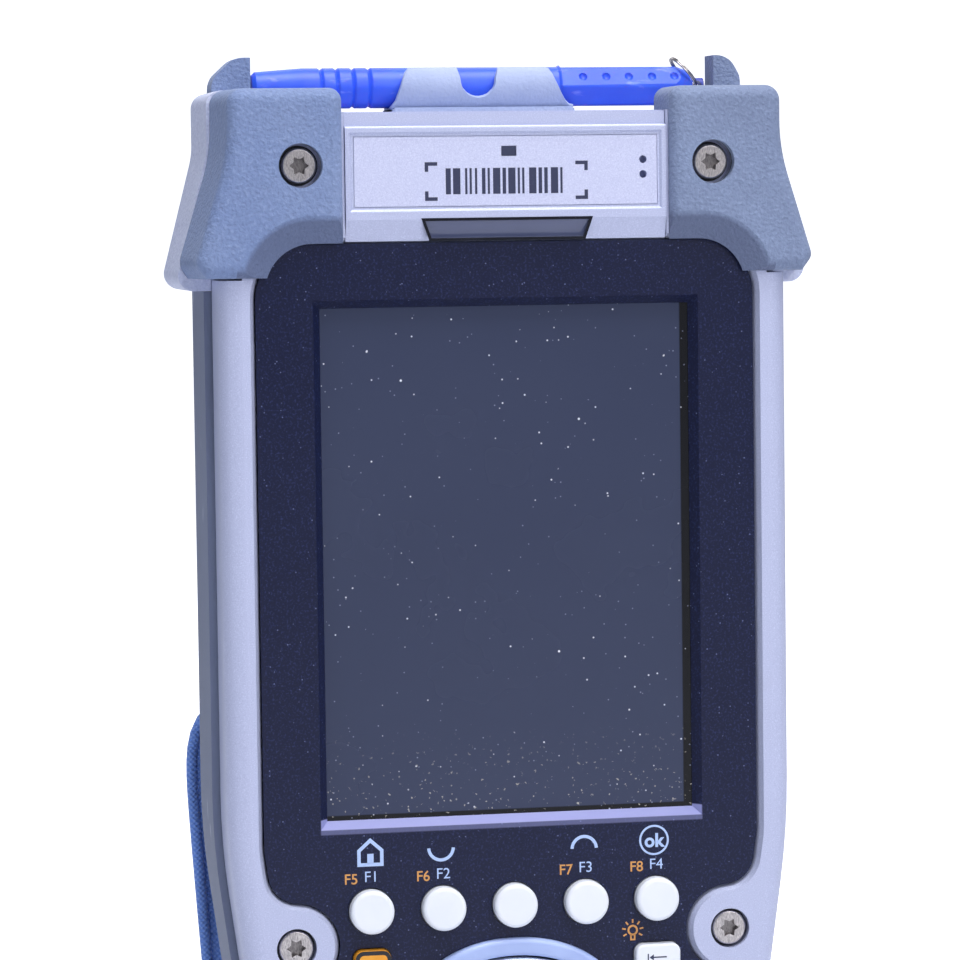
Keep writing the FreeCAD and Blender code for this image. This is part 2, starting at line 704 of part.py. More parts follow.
# ---------------------------------------------------------------- head
def make_bumper(name, side, ear_out):
    body = new_piece(name)

    def mirrored(*corners):
        return polygon(*[(f"{side}({across})", up) for across, up in corners])

    def at(*places):
        return runs_in_depth(*[(f"{side}({across})", up) for across, up in places])

    def outer(edge):
        """Edges of the front face along the flank, which lean outwards towards the back."""
        middle = edge.CenterOfMass
        inner_side, outer_low = value("bumper_in") + 8, value("bumper_low")
        return (abs(middle.y - value("bumper_front")) < 1e-3 and abs(middle.x) > inner_side
                and outer_low + 0.1 < middle.z < value("bumper_top") - 0.1)

    def top_corner(edge):
        middle = edge.CenterOfMass
        first, last = edge_ends(edge)
        return (abs(middle.z - value("bumper_top")) < 1e-2 and abs(first.y - last.y) > 0.05
                and abs(middle.x) > value("bumper_top_half") - 2)

    add(body, "bumper_front", "shoulder_front",
        mirrored(("bumper_in", "bumper_low"), ("bumper_low_half - 1.5", "bumper_low"),
                 ("bumper_low_half", "bumper_low + 2"), ("bumper_top_half", "bumper_waist"),
                 ("bumper_top_half", "bumper_top"), ("bumper_in", "bumper_top")))
    fillet(body, "28", at(("bumper_top_half", "bumper_waist")))
    fillet(body, "3", at(("bumper_low_half", "bumper_low + 2")))
    chamfer(body, "bumper_draft_deep", outer, "bumper_draft")
    fillet(body, "bumper_corner", top_corner)
    fillet(body, "2", at(("bumper_in", "bumper_top")))
    fillet(body, "2", lies_at_depth("bumper_front"))
    notch = [("bumper_in - 5", "bumper_low - 5"), ("notch_out", "bumper_low - 5"),
             ("notch_corner", "notch_top"), ("bumper_in - 5", "notch_top")]
    cut(body, "bumper_front", "silver_front", rounded_corner(side, notch, 2, "notch_round"))
    add_slope(body, side)
    cut(body, "silver_front", "shoulder_front",
        mirrored(("0", "shell_top - 5"), ("head_half + 0.05", "shell_top - 5"),
                 ("head_half + 0.05", "head_top + 0.05"), ("0", "head_top + 0.05")))
    cut(body, "bumper_front", "silver_front", disc(f"{side}top_screw_x", "top_screw_z", "bumper_bore"))
    add(body, "shoulder_front - 1", "ear_back",
        mirrored(("ear_in", "head_top + 0.05"), ("strip_out", "head_top + 0.05"),
                 ("strip_out", "strip_top"), ("ear_in", "strip_top")))
    add(body, "ear_front", "ear_back",
        mirrored(("ear_in", "head_top + 0.05"), (ear_out, "head_top + 0.05"),
                 (ear_out, "ear_shoulder"), ("ear_in + 2.5", "ear_top"), ("ear_in", "ear_top")))
    fillet(body, "3.4", at((ear_out, "ear_shoulder"), ("ear_in + 2.5", "ear_top")))


def add_slope(body, side):
    """The scooped bevel that runs down from the bumper's face to the bezel's corner."""
    corners = [("bumper_in - 14", "bumper_low - 14"), ("scallop_out", "bumper_low - 14"),
               ("scallop_out", "scallop_top"), ("bumper_in - 14", "scallop_top")]
    cut(body, "bumper_front", "bumper_front + scallop_deep",
        rounded_corner(side, corners, 2, "scallop_round"), slope="-scallop_slope")


def rounded_corner(side, corners, index, radius):
    """A polygon whose one corner is an arc, so that a sloped pocket follows it as a cone."""
    def draw(item):
        polygon(*[(f"{side}({across})", up) for across, up in corners])(item)
        item.fillet(index - 1, index, Vector(0, 0, 0), Vector(0, 0, 0), value(radius), True, True)
    return draw


def make_top_cover():
    cover = new_piece("top_cover")
    add(cover, "cover_front", "cover_back", rectangle("-cover_half", "cover_half", "cover_low", "cover_high"))
    chamfer(cover, "1.1", lambda edge: abs(edge.CenterOfMass.y - value("cover_front")) < 1e-3
            and abs(edge.CenterOfMass.z - value("cover_low")) < 1e-3, "3.3")
    cut(cover, "cover_front", "cover_front + 0.8",
        rectangle("-(cover_half + 1)", "cover_half + 1", "cover_high - 2", "cover_high + 1"))
    fillet(cover, "0.4", lambda edge: abs(edge.CenterOfMass.y - value("cover_front")) < 1e-3
           and abs(edge.CenterOfMass.z - value("cover_high - 2")) < 1e-3)
    cut(cover, "cover_front", "cover_front + 0.35", rectangle("-(plate_half + 0.75)", "plate_half + 0.75",
        "plate_low - 0.75", "plate_high + 0.75"), slope="-45")
    cut(cover, "cover_front", "cover_front + 2 * plate_deep",
        rectangle("-(plate_half + 0.1)", "plate_half + 0.1", "plate_low - 0.1", "plate_high + 0.1"))
    lens_cut = polygon(("-(lens_low_half + 0.1)", "lens_low - 0.1"), ("lens_low_half + 0.1", "lens_low - 0.1"),
                       ("lens_top_half + 0.1", "lens_high + 0.1"), ("-(lens_top_half + 0.1)", "lens_high + 0.1"))
    cut(cover, "cover_front", "cover_front + 1.6", lens_cut)
    cut(cover, "cover_front", "cover_back", *MICROPHONE)
    plate = new_piece("name_plate")
    add(plate, "cover_front + plate_deep", "cover_front + 2 * plate_deep",
        rectangle("-plate_half", "plate_half", "plate_low", "plate_high"))
    cut(plate, "cover_front + plate_deep", "cover_front + 2 * plate_deep", *MICROPHONE,
        rectangle("-0.8", "1.6", "177", "178.6"))
    lens = new_piece("status_lens")
    add(lens, "cover_front + 0.15", "cover_front + 1.55",
        polygon(("-lens_low_half", "lens_low"), ("lens_low_half", "lens_low"),
                ("lens_top_half", "lens_high"), ("-lens_top_half", "lens_high")))
    chamfer(lens, "0.95", lambda edge: abs(edge.CenterOfMass.y - value("cover_front + 0.15")) < 1e-3
            and abs(edge.CenterOfMass.z - value("lens_low")) < 1e-3, "2.9")


MICROPHONE = [disc("21.7", "176.3", "0.6"), disc("21.7", "174", "0.6")]


def make_screws(name, places, head_front, reach):
    body = new_piece(name)
    add(body, head_front, f"{head_front} + head_tall", *places(lambda x, z: disc(x, z, "head_radius")))
    fillet(body, "0.35", lies_at_depth(head_front))
    add(body, f"{head_front} + head_tall", f"{head_front} + head_tall + {reach}",
        *places(lambda x, z: disc(x, z, "shank_radius")))
    cut(body, head_front, f"{head_front} + torx_deep", *places(torx))


def make_stylus():
    body = new_piece("stylus")
    item = new_sketch(body, ALONG_Y, "stylus_y")
    item.setExpression("AttachmentOffset.Base.y", bound("stylus_z"))
    profile = [("stylus_left", "0"), ("stylus_left", "2.1"), ("stylus_left + 0.6", "2.65"),
               ("stylus_left + 8", "stylus_radius")]
    for place in ("-25.9", "-23.4", "-20.8", "-18.2"):
        profile += [(f"{place} - 0.4", "stylus_radius"), (f"{place}", "stylus_radius - 0.3"),
                    (f"{place} + 0.4", "stylus_radius")]
    profile += [("grip_left - 0.4", "stylus_radius"), ("grip_left", "grip_radius"),
                ("stylus_end - 2.5", "grip_radius - 0.1"), ("stylus_end", "2.45"),
                ("stylus_end", "1.9"), ("stylus_end + 0.5", "1.9"), ("stylus_end + 0.5", "neck_radius"),
                ("stylus_right", "neck_radius"), ("stylus_right", "0")]
    polygon(*profile)(item)
    feature = body.newObject("PartDesign::Revolution", "stylus_turned")
    feature.Profile = item
    feature.ReferenceAxis = (item, ["H_Axis"])
    feature.Angle = 360
    doc.recompute()
    corners = []
    for turn in range(6):
        angle = turn * math.pi / 3
        reach = 1 / math.cos(math.pi / 6)
        corners.append((f"stylus_y + {reach * math.cos(angle):.5f} * grip_flat",
                        f"stylus_z + {reach * math.sin(angle):.5f} * grip_flat"))
    cut(body, "grip_left", "stylus_end", disc("stylus_y", "stylus_z", "grip_radius + 1"),
        polygon(*corners), plane=ALONG_X)
    cut(body, "stylus_y - 3", "stylus_y + 3", disc("ring_x", "stylus_z", "0.85"))
    for place in (16.2, 20.0, 23.7, 27.5, 31.2):
        add_dimple(body, place)


def add_dimple(body, along):
    """A thumb dimple in the upper front flat of the stylus grip."""
    ball = body.newObject("PartDesign::SubtractiveSphere", "stylus_dimple")
    reach = f"({bound('grip_flat')} + {bound('dimple_radius')} - {bound('dimple_deep')})"
    ball.setExpression("Radius", bound("dimple_radius"))
    ball.Placement.Base.x = along
    ball.setExpression("Placement.Base.y", f"{bound('stylus_y')} - {reach} * cos(30 * 1 deg)")
    ball.setExpression("Placement.Base.z", f"{bound('stylus_z')} + {reach} * sin(30 * 1 deg)")
    doc.recompute()


def make_ring():
    """Split ring through the stylus neck, leaning to the left over the end of the grip."""
    ring = doc.addObject("Part::Torus", "stylus_ring")
    ring.Label = "stylus_ring"
    ring.setExpression("Radius1", bound("ring_radius"))
    ring.setExpression("Radius2", bound("ring_wire"))
    ring.Placement.Rotation = FreeCAD.Rotation(Vector(0, 1, 0), 90 + value("ring_lean"))
    ring.setExpression("Placement.Base.x", bound("ring_x") + " + " + bound("ring_radius")
                       + " * sin(" + bound("ring_lean") + " * 1 deg)")
    ring.setExpression("Placement.Base.y", bound("stylus_y"))
    ring.setExpression("Placement.Base.z", bound("stylus_z") + " + " + bound("ring_radius")
                       + " * cos(" + bound("ring_lean") + " * 1 deg)")
    pieces.append(ring)
    return ring


def make_clip():
    body = new_piece("stylus_holder")
    reach = "stylus_radius + clip_gap + clip_wall"
    front, back = f"stylus_y - ({reach})", f"stylus_y + ({reach})"
    add(body, front, back,
        polygon(("clip_left", "trough_low + 0.05"), ("clip_right", "trough_low + 0.05"),
                ("clip_right", "clip_flange"), ("12.4", "clip_flange + 0.5"), ("9.9", "clip_top"),
                ("1.6", "clip_top"), ("1.6", "clip_dip"), ("-4.1", "clip_dip"),
                ("-4.1", "clip_top"), ("-12.2", "clip_top"), ("-13.6", "clip_flange + 0.5"),
                ("clip_left", "clip_flange")))
    fillet(body, "2.8", runs_in_depth(("1.6", "clip_dip"), ("-4.1", "clip_dip")))
    fillet(body, "1.3", runs_in_depth(("9.9", "clip_top"), ("1.6", "clip_top"), ("-4.1", "clip_top"),
                                      ("-12.2", "clip_top"), ("12.4", "clip_flange + 0.5"),
                                      ("-13.6", "clip_flange + 0.5")))
    groove = "stylus_radius + clip_gap"
    cut(body, "clip_left - 1", "clip_right + 1", disc("stylus_y", "stylus_z", groove), plane=ALONG_X)
    cut(body, "clip_left - 1", "clip_right + 1",
        rectangle(f"stylus_y - ({groove})", f"stylus_y + ({groove})", "stylus_z", "ear_top"),
        plane=ALONG_X)
    groove = "grip_radius + clip_gap"
    cut(body, "grip_left - 0.8", "clip_right + 1", disc("stylus_y", "stylus_z", groove), plane=ALONG_X)


# ---------------------------------------------------------------- inside and back
def make_inner_units():
    battery = new_piece("battery_pack")
    add(battery, "bay_floor + bay_gap", "back_face + 0.3",
        rectangle("-(bay_half - bay_gap)", "bay_half - bay_gap", "bay_low + bay_gap", "bay_high - bay_gap"))
    cut(battery, "12.9", "back_face + 0.3",
        rectangle("-(latch_half + 0.6)", "latch_half + 0.6", "bay_high - 2.4", "bay_high + 1"))
    latch = new_piece("battery_latch")
    add(latch, "13.1", "back_face + 0.4",
        rectangle("-latch_half", "latch_half", "bay_high - 1.9", "bay_high + 6"))
    fillet(latch, "0.8", lies_at_depth("back_face + 0.4"))
    engine = new_piece("scan_engine")
    add(engine, "0", "11", rectangle("-12", "12", "163", "179"))
    window = new_piece("scan_window")
    add(window, "12.8", "14.2", rectangle("-14.9", "14.9", "164.1", "177.9"))
    dock = new_piece("dock_connector")
    add(dock, "2.5", "10.5", rectangle("-12.9", "12.9", "0", "7.9"))
    cut(dock, "0", "4", rectangle("-10", "10", "4.5", "8.5"), plane=ALONG_Z)
    speaker = new_piece("speaker")
    add(speaker, "9", "12.4", disc("22", "132", "9"))


def make_strap():
    pins = new_piece("strap_pins")
    add(pins, "-pin_half", "pin_half", disc("pin_y", "pin_low_z", "pin_radius"),
        disc("pin_y", "pin_high_z", "pin_radius"), plane=ALONG_X)
    webbing = new_piece("strap_webbing")
    outer = [("pin_y + 1.6", "pin_high_z + 2.2"), ("strap_reach - 1.5", "pad_high"), ("strap_reach", "54"),
             ("strap_reach - 1.5", "pad_low"), ("pin_y + 1.6", "pin_low_z - 2.2")]
    inner = [(f"{across} - strap_thick", up) for across, up in reversed(outer)]
    inner[0] = ("pin_y + 2", "pin_low_z")
    inner[-1] = ("pin_y + 2", "pin_high_z")
    add(webbing, "-strap_half", "strap_half", polygon(*outer, *inner), plane=ALONG_X)
    add(webbing, "-strap_half", "strap_half", disc("pin_y", "pin_low_z", "loop_radius"),
        disc("pin_y", "pin_high_z", "loop_radius"), plane=ALONG_X)
    cut(webbing, "-strap_half", "strap_half", disc("pin_y", "pin_low_z", "pin_radius + 0.1"),
        disc("pin_y", "pin_high_z", "pin_radius + 0.1"), plane=ALONG_X)
    pad = new_piece("strap_pad")
    face = "strap_reach - strap_thick - 0.4"
    add(pad, "-pad_half", "pad_half",
        polygon((f"{face} - 1.5", "pad_high"), (face, "54"), (f"{face} - 1.5", "pad_low"),
                (f"{face} - 7", "pad_low"), (f"{face} - 6", "54"), (f"{face} - 7", "pad_high")),
        plane=ALONG_X)


make_front_housing()
make_back_housing()
make_head_shell()
make_bezel()
make_display()
make_gasket()
make_boards()
make_keys()
make_navigation()
make_bumper("bumper_left", "-", "ear_out_left")
make_bumper("bumper_right", "", "ear_out_right")
make_top_cover()
make_screws("bumper_screws", top_screws, "silver_front - 0.5", "11")
make_screws("housing_screws", low_screws, "silver_front + 0.5", "11")
make_stylus()
make_ring()
make_clip()
make_inner_units()
make_strap()
doc.recompute()

for item in doc.Objects:
    if "Invalid" in item.State or "Error" in item.State:
        raise RuntimeError(f"{item.Label} failed: {item.State}")
for piece in pieces:
    if piece.Shape.isNull() or not piece.Shape.isValid():
        raise RuntimeError(f"{piece.Label} has no valid shape")

os.makedirs("parts", exist_ok=True)
for piece in pieces:
    piece.Shape.exportStep(f"parts/{piece.Label}.step")
    print(piece.Label, len(piece.Shape.Solids), round(piece.Shape.Volume, 1))
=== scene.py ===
"""Looks of a rugged handheld data terminal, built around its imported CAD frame."""
import json
import math
import random

import bmesh
import bpy
from mathutils import Matrix, Vector


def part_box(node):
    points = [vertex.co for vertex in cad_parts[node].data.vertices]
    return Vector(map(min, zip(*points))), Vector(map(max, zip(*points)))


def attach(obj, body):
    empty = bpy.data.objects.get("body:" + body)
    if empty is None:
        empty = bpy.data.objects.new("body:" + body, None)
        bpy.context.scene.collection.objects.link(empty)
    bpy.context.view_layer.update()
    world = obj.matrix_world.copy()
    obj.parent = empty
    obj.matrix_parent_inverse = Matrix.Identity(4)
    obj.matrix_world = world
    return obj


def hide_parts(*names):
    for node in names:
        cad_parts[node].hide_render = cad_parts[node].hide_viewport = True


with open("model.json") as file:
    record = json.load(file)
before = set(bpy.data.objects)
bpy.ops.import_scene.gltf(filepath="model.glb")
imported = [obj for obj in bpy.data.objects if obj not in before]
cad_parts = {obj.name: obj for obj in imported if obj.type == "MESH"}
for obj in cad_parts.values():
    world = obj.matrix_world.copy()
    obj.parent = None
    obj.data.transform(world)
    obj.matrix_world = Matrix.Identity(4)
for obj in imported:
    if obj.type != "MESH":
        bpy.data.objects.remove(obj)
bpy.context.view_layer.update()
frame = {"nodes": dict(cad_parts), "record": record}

MM = 0.001
scene = bpy.context.scene
scene.view_settings.view_transform = "Standard"


# -------------------- node helpers
def srgb(red, green, blue):
    """Display values from 0 to 255 to the linear colour that a shader takes."""
    def linear(value):
        share = value / 255
        return share / 12.92 if share <= 0.04045 else ((share + 0.055) / 1.055) ** 2.4
    return (linear(red), linear(green), linear(blue), 1.0)


materials = {}


class Surface:
    """A Principled material whose colour, roughness and bump are built up from nodes."""

    def __init__(self, name, colour, roughness, **sockets):
        self.name = name
        self.material = bpy.data.materials.new(name)
        self.material.use_nodes = True
        self.tree = self.material.node_tree
        self.shader = self.tree.nodes["Principled BSDF"]
        self.shader.inputs["Base Color"].default_value = colour
        self.shader.inputs["Roughness"].default_value = roughness
        for socket, value in sockets.items():
            self.shader.inputs[socket.replace("_", " ")].default_value = value
        self.colour = None
        self.flat_colour = colour
        self.height = None
        self.place = self.node("ShaderNodeTexCoord").outputs["Object"]

    def node(self, kind, **settings):
        made = self.tree.nodes.new(kind)
        for name, value in settings.items():
            setattr(made, name, value)
        return made

    def link(self, source, target):
        self.tree.links.new(source, target)

    def texture(self, kind, size, stretch):
        """A texture whose features are about size metres across, on the object's coordinates."""
        mapping = self.node("ShaderNodeMapping")
        mapping.inputs["Scale"].default_value = stretch
        self.link(self.place, mapping.inputs["Vector"])
        texture = self.node(kind)
        texture.inputs["Scale"].default_value = 1 / size
        self.link(mapping.outputs["Vector"], texture.inputs["Vector"])
        return texture

    def noise(self, size, detail=2.0, stretch=(1, 1, 1)):
        """Noise from 0 to 1."""
        texture = self.texture("ShaderNodeTexNoise", size, stretch)
        texture.inputs["Detail"].default_value = detail
        return texture.outputs["Fac"]

    def cells(self, size):
        """Distance to the middle of the nearest of many scattered cells."""
        return self.texture("ShaderNodeTexVoronoi", size, (1, 1, 1)).outputs["Distance"]

    def ramp(self, source, low, high, start=0.0, end=1.0):
        """Map the source from low..high to start..end, clamped."""
        mapped = self.node("ShaderNodeMapRange", clamp=True)
        for name, value in (("From Min", low), ("From Max", high), ("To Min", start), ("To Max", end)):
            mapped.inputs[name].default_value = value
        self.link(source, mapped.inputs["Value"])
        return mapped.outputs["Result"]

    def maths(self, operation, first, second=0):
        """One step of arithmetic on sockets or plain numbers."""
        made = self.node("ShaderNodeMath", operation=operation)
        for socket, value in zip(made.inputs, (first, second)):
            if isinstance(value, (int, float)):
                socket.default_value = value
            else:
                self.link(value, socket)
        return made.outputs["Value"]

    def axis(self, name):
        """The X, Y or Z coordinate in metres."""
        split = self.node("ShaderNodeSeparateXYZ")
        self.link(self.place, split.inputs["Vector"])
        return split.outputs[name]

    def tint(self, mask, colour, strength=1.0):
        """Mix a colour over what is there, by a mask from 0 to 1."""
        mix = self.node("ShaderNodeMix", data_type="RGBA")
        factor = self.maths("MULTIPLY", mask, strength)
        self.link(factor, mix.inputs["Factor"])
        if self.colour is None:
            mix.inputs["A"].default_value = self.flat_colour
        else:
            self.link(self.colour, mix.inputs["A"])
        mix.inputs["B"].default_value = colour
        self.colour = mix.outputs["Result"]

    def rough_from(self, mask, low, high):
        """Let the roughness run from low to high with a mask from 0 to 1."""
        self.link(self.ramp(mask, 0, 1, low, high), self.shader.inputs["Roughness"])

    def raise_by(self, mask, amount):
        """Add a relief of that many metres to the bump."""
        step = self.maths("MULTIPLY", mask, amount)
        self.height = step if self.height is None else self.maths("ADD", self.height, step)

    def done(self):
        """Connect the colour and the bump, and file the material under its name."""
        if self.colour is not None:
            self.link(self.colour, self.shader.inputs["Base Color"])
        if self.height is not None:
            bump = self.node("ShaderNodeBump")
            bump.inputs["Distance"].default_value = 1.0
            bump.inputs["Strength"].default_value = 1.0
            self.link(self.height, bump.inputs["Height"])
            self.link(bump.outputs["Normal"], self.shader.inputs["Normal"])
        materials[self.name] = self.material


def between(surface, axis, low, high, soft=0.0001):
    """Mask that is 1 where the coordinate lies between low and high."""
    coordinate = surface.axis(axis)
    rising = surface.ramp(coordinate, low - soft, low + soft)
    falling = surface.ramp(coordinate, high - soft, high + soft, 1, 0)
    return surface.maths("MULTIPLY", rising, falling)


def add_dust(surface, amount=1.0, spacing=0.0035, size=0.06, colour=srgb(215, 220, 225), bare=0.5):
    """Sparse small specks of dust, each in its own cell; a higher bare leaves more cells empty."""
    speck = surface.ramp(surface.cells(spacing), size * 0.55, size, 1, 0)
    chosen = surface.ramp(surface.noise(spacing * 0.8, 0), bare, bare + 0.04)
    surface.tint(surface.maths("MULTIPLY", speck, chosen), colour, amount)


SCREW_PLACES = ((-34.67, 54.72), (34.67, 54.72), (-32.47, 175.84), (32.47, 175.84))


def around_screws(surface, reach, colour, behind=-0.0165):
    """Darken the bores of the four front screws behind a depth, where no light gets in."""
    deep = surface.ramp(surface.axis("Y"), behind, behind + 0.0004)
    for x, z in SCREW_PLACES:
        across = surface.maths("SUBTRACT", surface.axis("X"), x * MM)
        up = surface.maths("SUBTRACT", surface.axis("Z"), z * MM)
        across_squared = surface.maths("MULTIPLY", across, across)
        up_squared = surface.maths("MULTIPLY", up, up)
        far = surface.maths("ADD", across_squared, up_squared)
        near = surface.maths("LESS_THAN", far, (reach * MM) ** 2)
        surface.tint(surface.maths("MULTIPLY", near, deep), colour)


# -------------------- materials
def head_silver():
    """The head's textured side wall: the housing's silver over a coarse moulded grain."""
    made = Surface("head_silver", srgb(196, 202, 230), 0.5)
    grain = made.noise(0.0006, 3)
    made.tint(made.ramp(grain, 0.52, 0.7), srgb(222, 227, 246), 0.6)
    made.tint(made.ramp(grain, 0.3, 0.46, 1, 0), srgb(166, 172, 206), 0.6)
    made.raise_by(grain, 0.00022)
    made.rough_from(made.noise(0.02), 0.45, 0.6)
    made.done()


def silver_paint():
    made = Surface("silver_paint", srgb(180, 186, 217), 0.42, Metallic=0.15, Coat_Weight=0.1)
    grain = made.noise(0.0002, 3)
    made.tint(made.ramp(grain, 0.52, 0.72), srgb(208, 213, 240), 0.6)
    made.tint(made.ramp(grain, 0.28, 0.46, 1, 0), srgb(160, 166, 200), 0.5)
    made.tint(made.ramp(made.noise(0.012, 4), 0.62, 0.78), srgb(168, 172, 200), 0.35)
    made.raise_by(grain, 0.000012)
    # Painted shade: the counterbores round the four front screws are darkened where no light gets in.
    around_screws(made, 3.1, srgb(34, 34, 42), -0.0157)
    made.rough_from(made.noise(0.02), 0.36, 0.5)
    made.done()


def label_silver():
    made = Surface("label_silver", srgb(192, 196, 226), 0.5, Metallic=0.15)
    grain = made.noise(0.00022, 3)
    made.tint(made.ramp(grain, 0.5, 0.75), srgb(216, 220, 242), 0.7)
    made.tint(made.ramp(grain, 0.28, 0.45, 1, 0), srgb(168, 173, 205), 0.5)
    made.raise_by(grain, 0.000012)
    made.done()


def bumper_rubber():
    """Grained rubber, with a painted light tint that makes the left side bluer, and painted shade in
    the screw bores and in the scoop below.
    """
    made = Surface("bumper_rubber", srgb(112, 126, 158), 0.62, Sheen_Weight=0.1)
    # Painted light: the left side is tinted bluer by its place, standing in for how the light falls
    # there.
    made.tint(made.ramp(made.axis("X"), -0.02, 0.02, 1, 0), srgb(108, 129, 176), 0.8)
    large = made.noise(0.018, 3)
    made.tint(made.ramp(large, 0.35, 0.7), srgb(134, 150, 184), 0.45)
    grain = made.noise(0.00055, 2)
    made.raise_by(grain, 0.00028)
    made.tint(made.ramp(grain, 0.3, 0.46, 1, 0), srgb(96, 108, 142), 0.3)
    made.tint(made.ramp(grain, 0.56, 0.72), srgb(152, 168, 204), 0.3)
    # Painted shade in the screw bores.
    around_screws(made, 3.42, srgb(20, 22, 30))
    # Painted shade on the scoop below the front, which faces down away from the light above.
    scoop = made.maths("MULTIPLY", made.ramp(made.axis("Y"), -0.01795, -0.0176),
                       made.ramp(made.axis("Z"), 0.1672, 0.1684, 1, 0))
    inside = made.maths("LESS_THAN", made.maths("ABSOLUTE", made.axis("X")), 0.0425)
    made.tint(made.maths("MULTIPLY", scoop, inside), srgb(82, 92, 124), 0.75)
    add_dust(made, 0.5, 0.011, 0.03, srgb(70, 72, 84))
    made.rough_from(large, 0.62, 0.78)
    made.done()


def grey_plastic():
    made = Surface("grey_plastic", srgb(106, 115, 142), 0.55)
    cloud = made.noise(0.03, 3)
    made.tint(made.ramp(cloud, 0.35, 0.7), srgb(120, 130, 158), 0.5)
    grain = made.noise(0.0006, 3)
    made.raise_by(grain, 0.00005)
    scuff = made.ramp(made.noise(0.003, 5, (1, 1, 0.35)), 0.66, 0.72)
    made.tint(scuff, srgb(168, 176, 200), 0.55)
    made.rough_from(cloud, 0.48, 0.64)
    made.done()


def navy_plastic():
    """Dark blue plastic with metal flake, and a painted highlight on the ledge under the window."""
    made = Surface("navy_plastic", srgb(15, 21, 52), 0.3, Specular_IOR_Level=0.3)
    grain = made.noise(0.00035, 3)
    made.tint(made.ramp(grain, 0.52, 0.76), srgb(44, 54, 98), 0.8)
    made.tint(made.ramp(grain, 0.25, 0.42, 1, 0), srgb(18, 22, 46), 0.5)
    chosen = made.ramp(made.noise(0.0011, 0), 0.56, 0.6)
    spark = made.ramp(made.cells(0.0009), 0.08, 0.16, 1, 0)
    made.tint(made.maths("MULTIPLY", spark, chosen), srgb(120, 130, 176), 0.6)
    made.raise_by(grain, 0.00003)
    made.rough_from(made.noise(0.03), 0.24, 0.34)
    add_dust(made, 0.6, 0.0065, 0.03)
    add_dust(made, 0.5, 0.0021, 0.05, srgb(96, 104, 150))
    # Painted highlight: the ledge under the window is tinted pale, standing in for its reflection of
    # the light from above.
    ledge = made.maths("MULTIPLY", between(made, "Z", 0.0722, 0.0745),
                       between(made, "Y", -0.01497, -0.0132))
    ledge = made.maths("MULTIPLY", ledge, between(made, "X", -0.0305, 0.0305))
    made.tint(ledge, srgb(150, 154, 208), 0.9)
    made.done()


def display_grey():
    made = Surface("display_grey", srgb(64, 71, 100), 0.5, Specular_IOR_Level=0.2)
    made.tint(made.ramp(made.noise(0.05, 2), 0.35, 0.7), srgb(58, 64, 92), 0.5)
    made.done()


def screen_glass():
    """The touch panel over a display that is off: grey, with a black margin and dust."""
    made = Surface("screen_glass", srgb(54, 61, 86), 0.28, Specular_IOR_Level=0.3)
    made.tint(made.ramp(made.noise(0.05, 2), 0.35, 0.7), srgb(48, 55, 80), 0.5)
    shown = made.maths("MULTIPLY", between(made, "X", -0.0312, 0.0279),
                       between(made, "Z", 0.0749, 0.16))
    made.tint(made.maths("SUBTRACT", 1.0, shown), srgb(10, 11, 18))
    add_dust(made, 1.0, 0.0052, 0.045, srgb(226, 226, 236))
    add_dust(made, 1.0, 0.0023, 0.075, srgb(206, 208, 222), 0.36)
    add_dust(made, 0.8, 0.0014, 0.1, srgb(132, 138, 162), 0.42)
    low = made.ramp(made.axis("Z"), 0.0745, 0.088, 1, 0)
    crumbs = made.ramp(made.noise(0.0007, 3), 0.64, 0.69)
    made.tint(made.maths("MULTIPLY", low, crumbs), srgb(206, 200, 190), 0.7)
    made.rough_from(made.noise(0.02, 3), 0.2, 0.32)
    made.done()


def moulded(name, colour, lighter, roughness, relief=0.00002, **sockets):
    made = Surface(name, colour, roughness, **sockets)
    made.tint(made.ramp(made.noise(0.006, 3), 0.35, 0.7), lighter, 0.6)
    made.raise_by(made.noise(0.0005, 2), relief)
    made.rough_from(made.noise(0.004), roughness - 0.06, roughness + 0.06)
    made.done()


LOWER_SCREWS_DEEPER = 0.001


def screw_steel(name):
    """Brushed steel with painted shade in the drive recess; the lower pair of screws sits deeper."""
    made = Surface(name, srgb(214, 208, 208), 0.26, Metallic=1.0)
    streak = made.noise(0.0005, 4, (6, 1, 1))
    made.tint(made.ramp(streak, 0.35, 0.7), srgb(120, 116, 122), 0.8)
    # Painted shade in the drive recess, its depth set deeper for the lower pair of screws.
    sunk = made.ramp(made.axis("Z"), 0.1, 0.101, LOWER_SCREWS_DEEPER, 0.0)
    recess = made.ramp(made.maths("SUBTRACT", made.axis("Y"), sunk), -0.01545, -0.0152)
    made.tint(recess, srgb(44, 38, 40), 0.6)
    made.rough_from(streak, 0.2, 0.42)
    made.raise_by(streak, 0.000012)
    made.done()


def stylus_blue():
    made = Surface("stylus_blue", srgb(38, 84, 224), 0.4, Subsurface_Weight=0.08)
    made.tint(made.ramp(made.noise(0.008, 3), 0.35, 0.7), srgb(48, 104, 238), 0.6)
    rubbed = made.ramp(made.noise(0.0016, 5, (0.3, 1, 1)), 0.64, 0.72)
    made.tint(rubbed, srgb(150, 170, 246), 0.4)
    made.tint(between(made, "X", 0.0345, 0.04), srgb(28, 36, 140), 0.8)
    made.raise_by(made.noise(0.0004, 2), 0.00002)
    made.rough_from(made.noise(0.006), 0.34, 0.5)
    made.done()


def dark_lens():
    made = Surface("dark_lens", srgb(80, 87, 120), 0.2, Coat_Weight=0.3)
    made.tint(made.ramp(made.noise(0.01), 0.3, 0.7), srgb(92, 99, 132), 0.5)
    made.done()


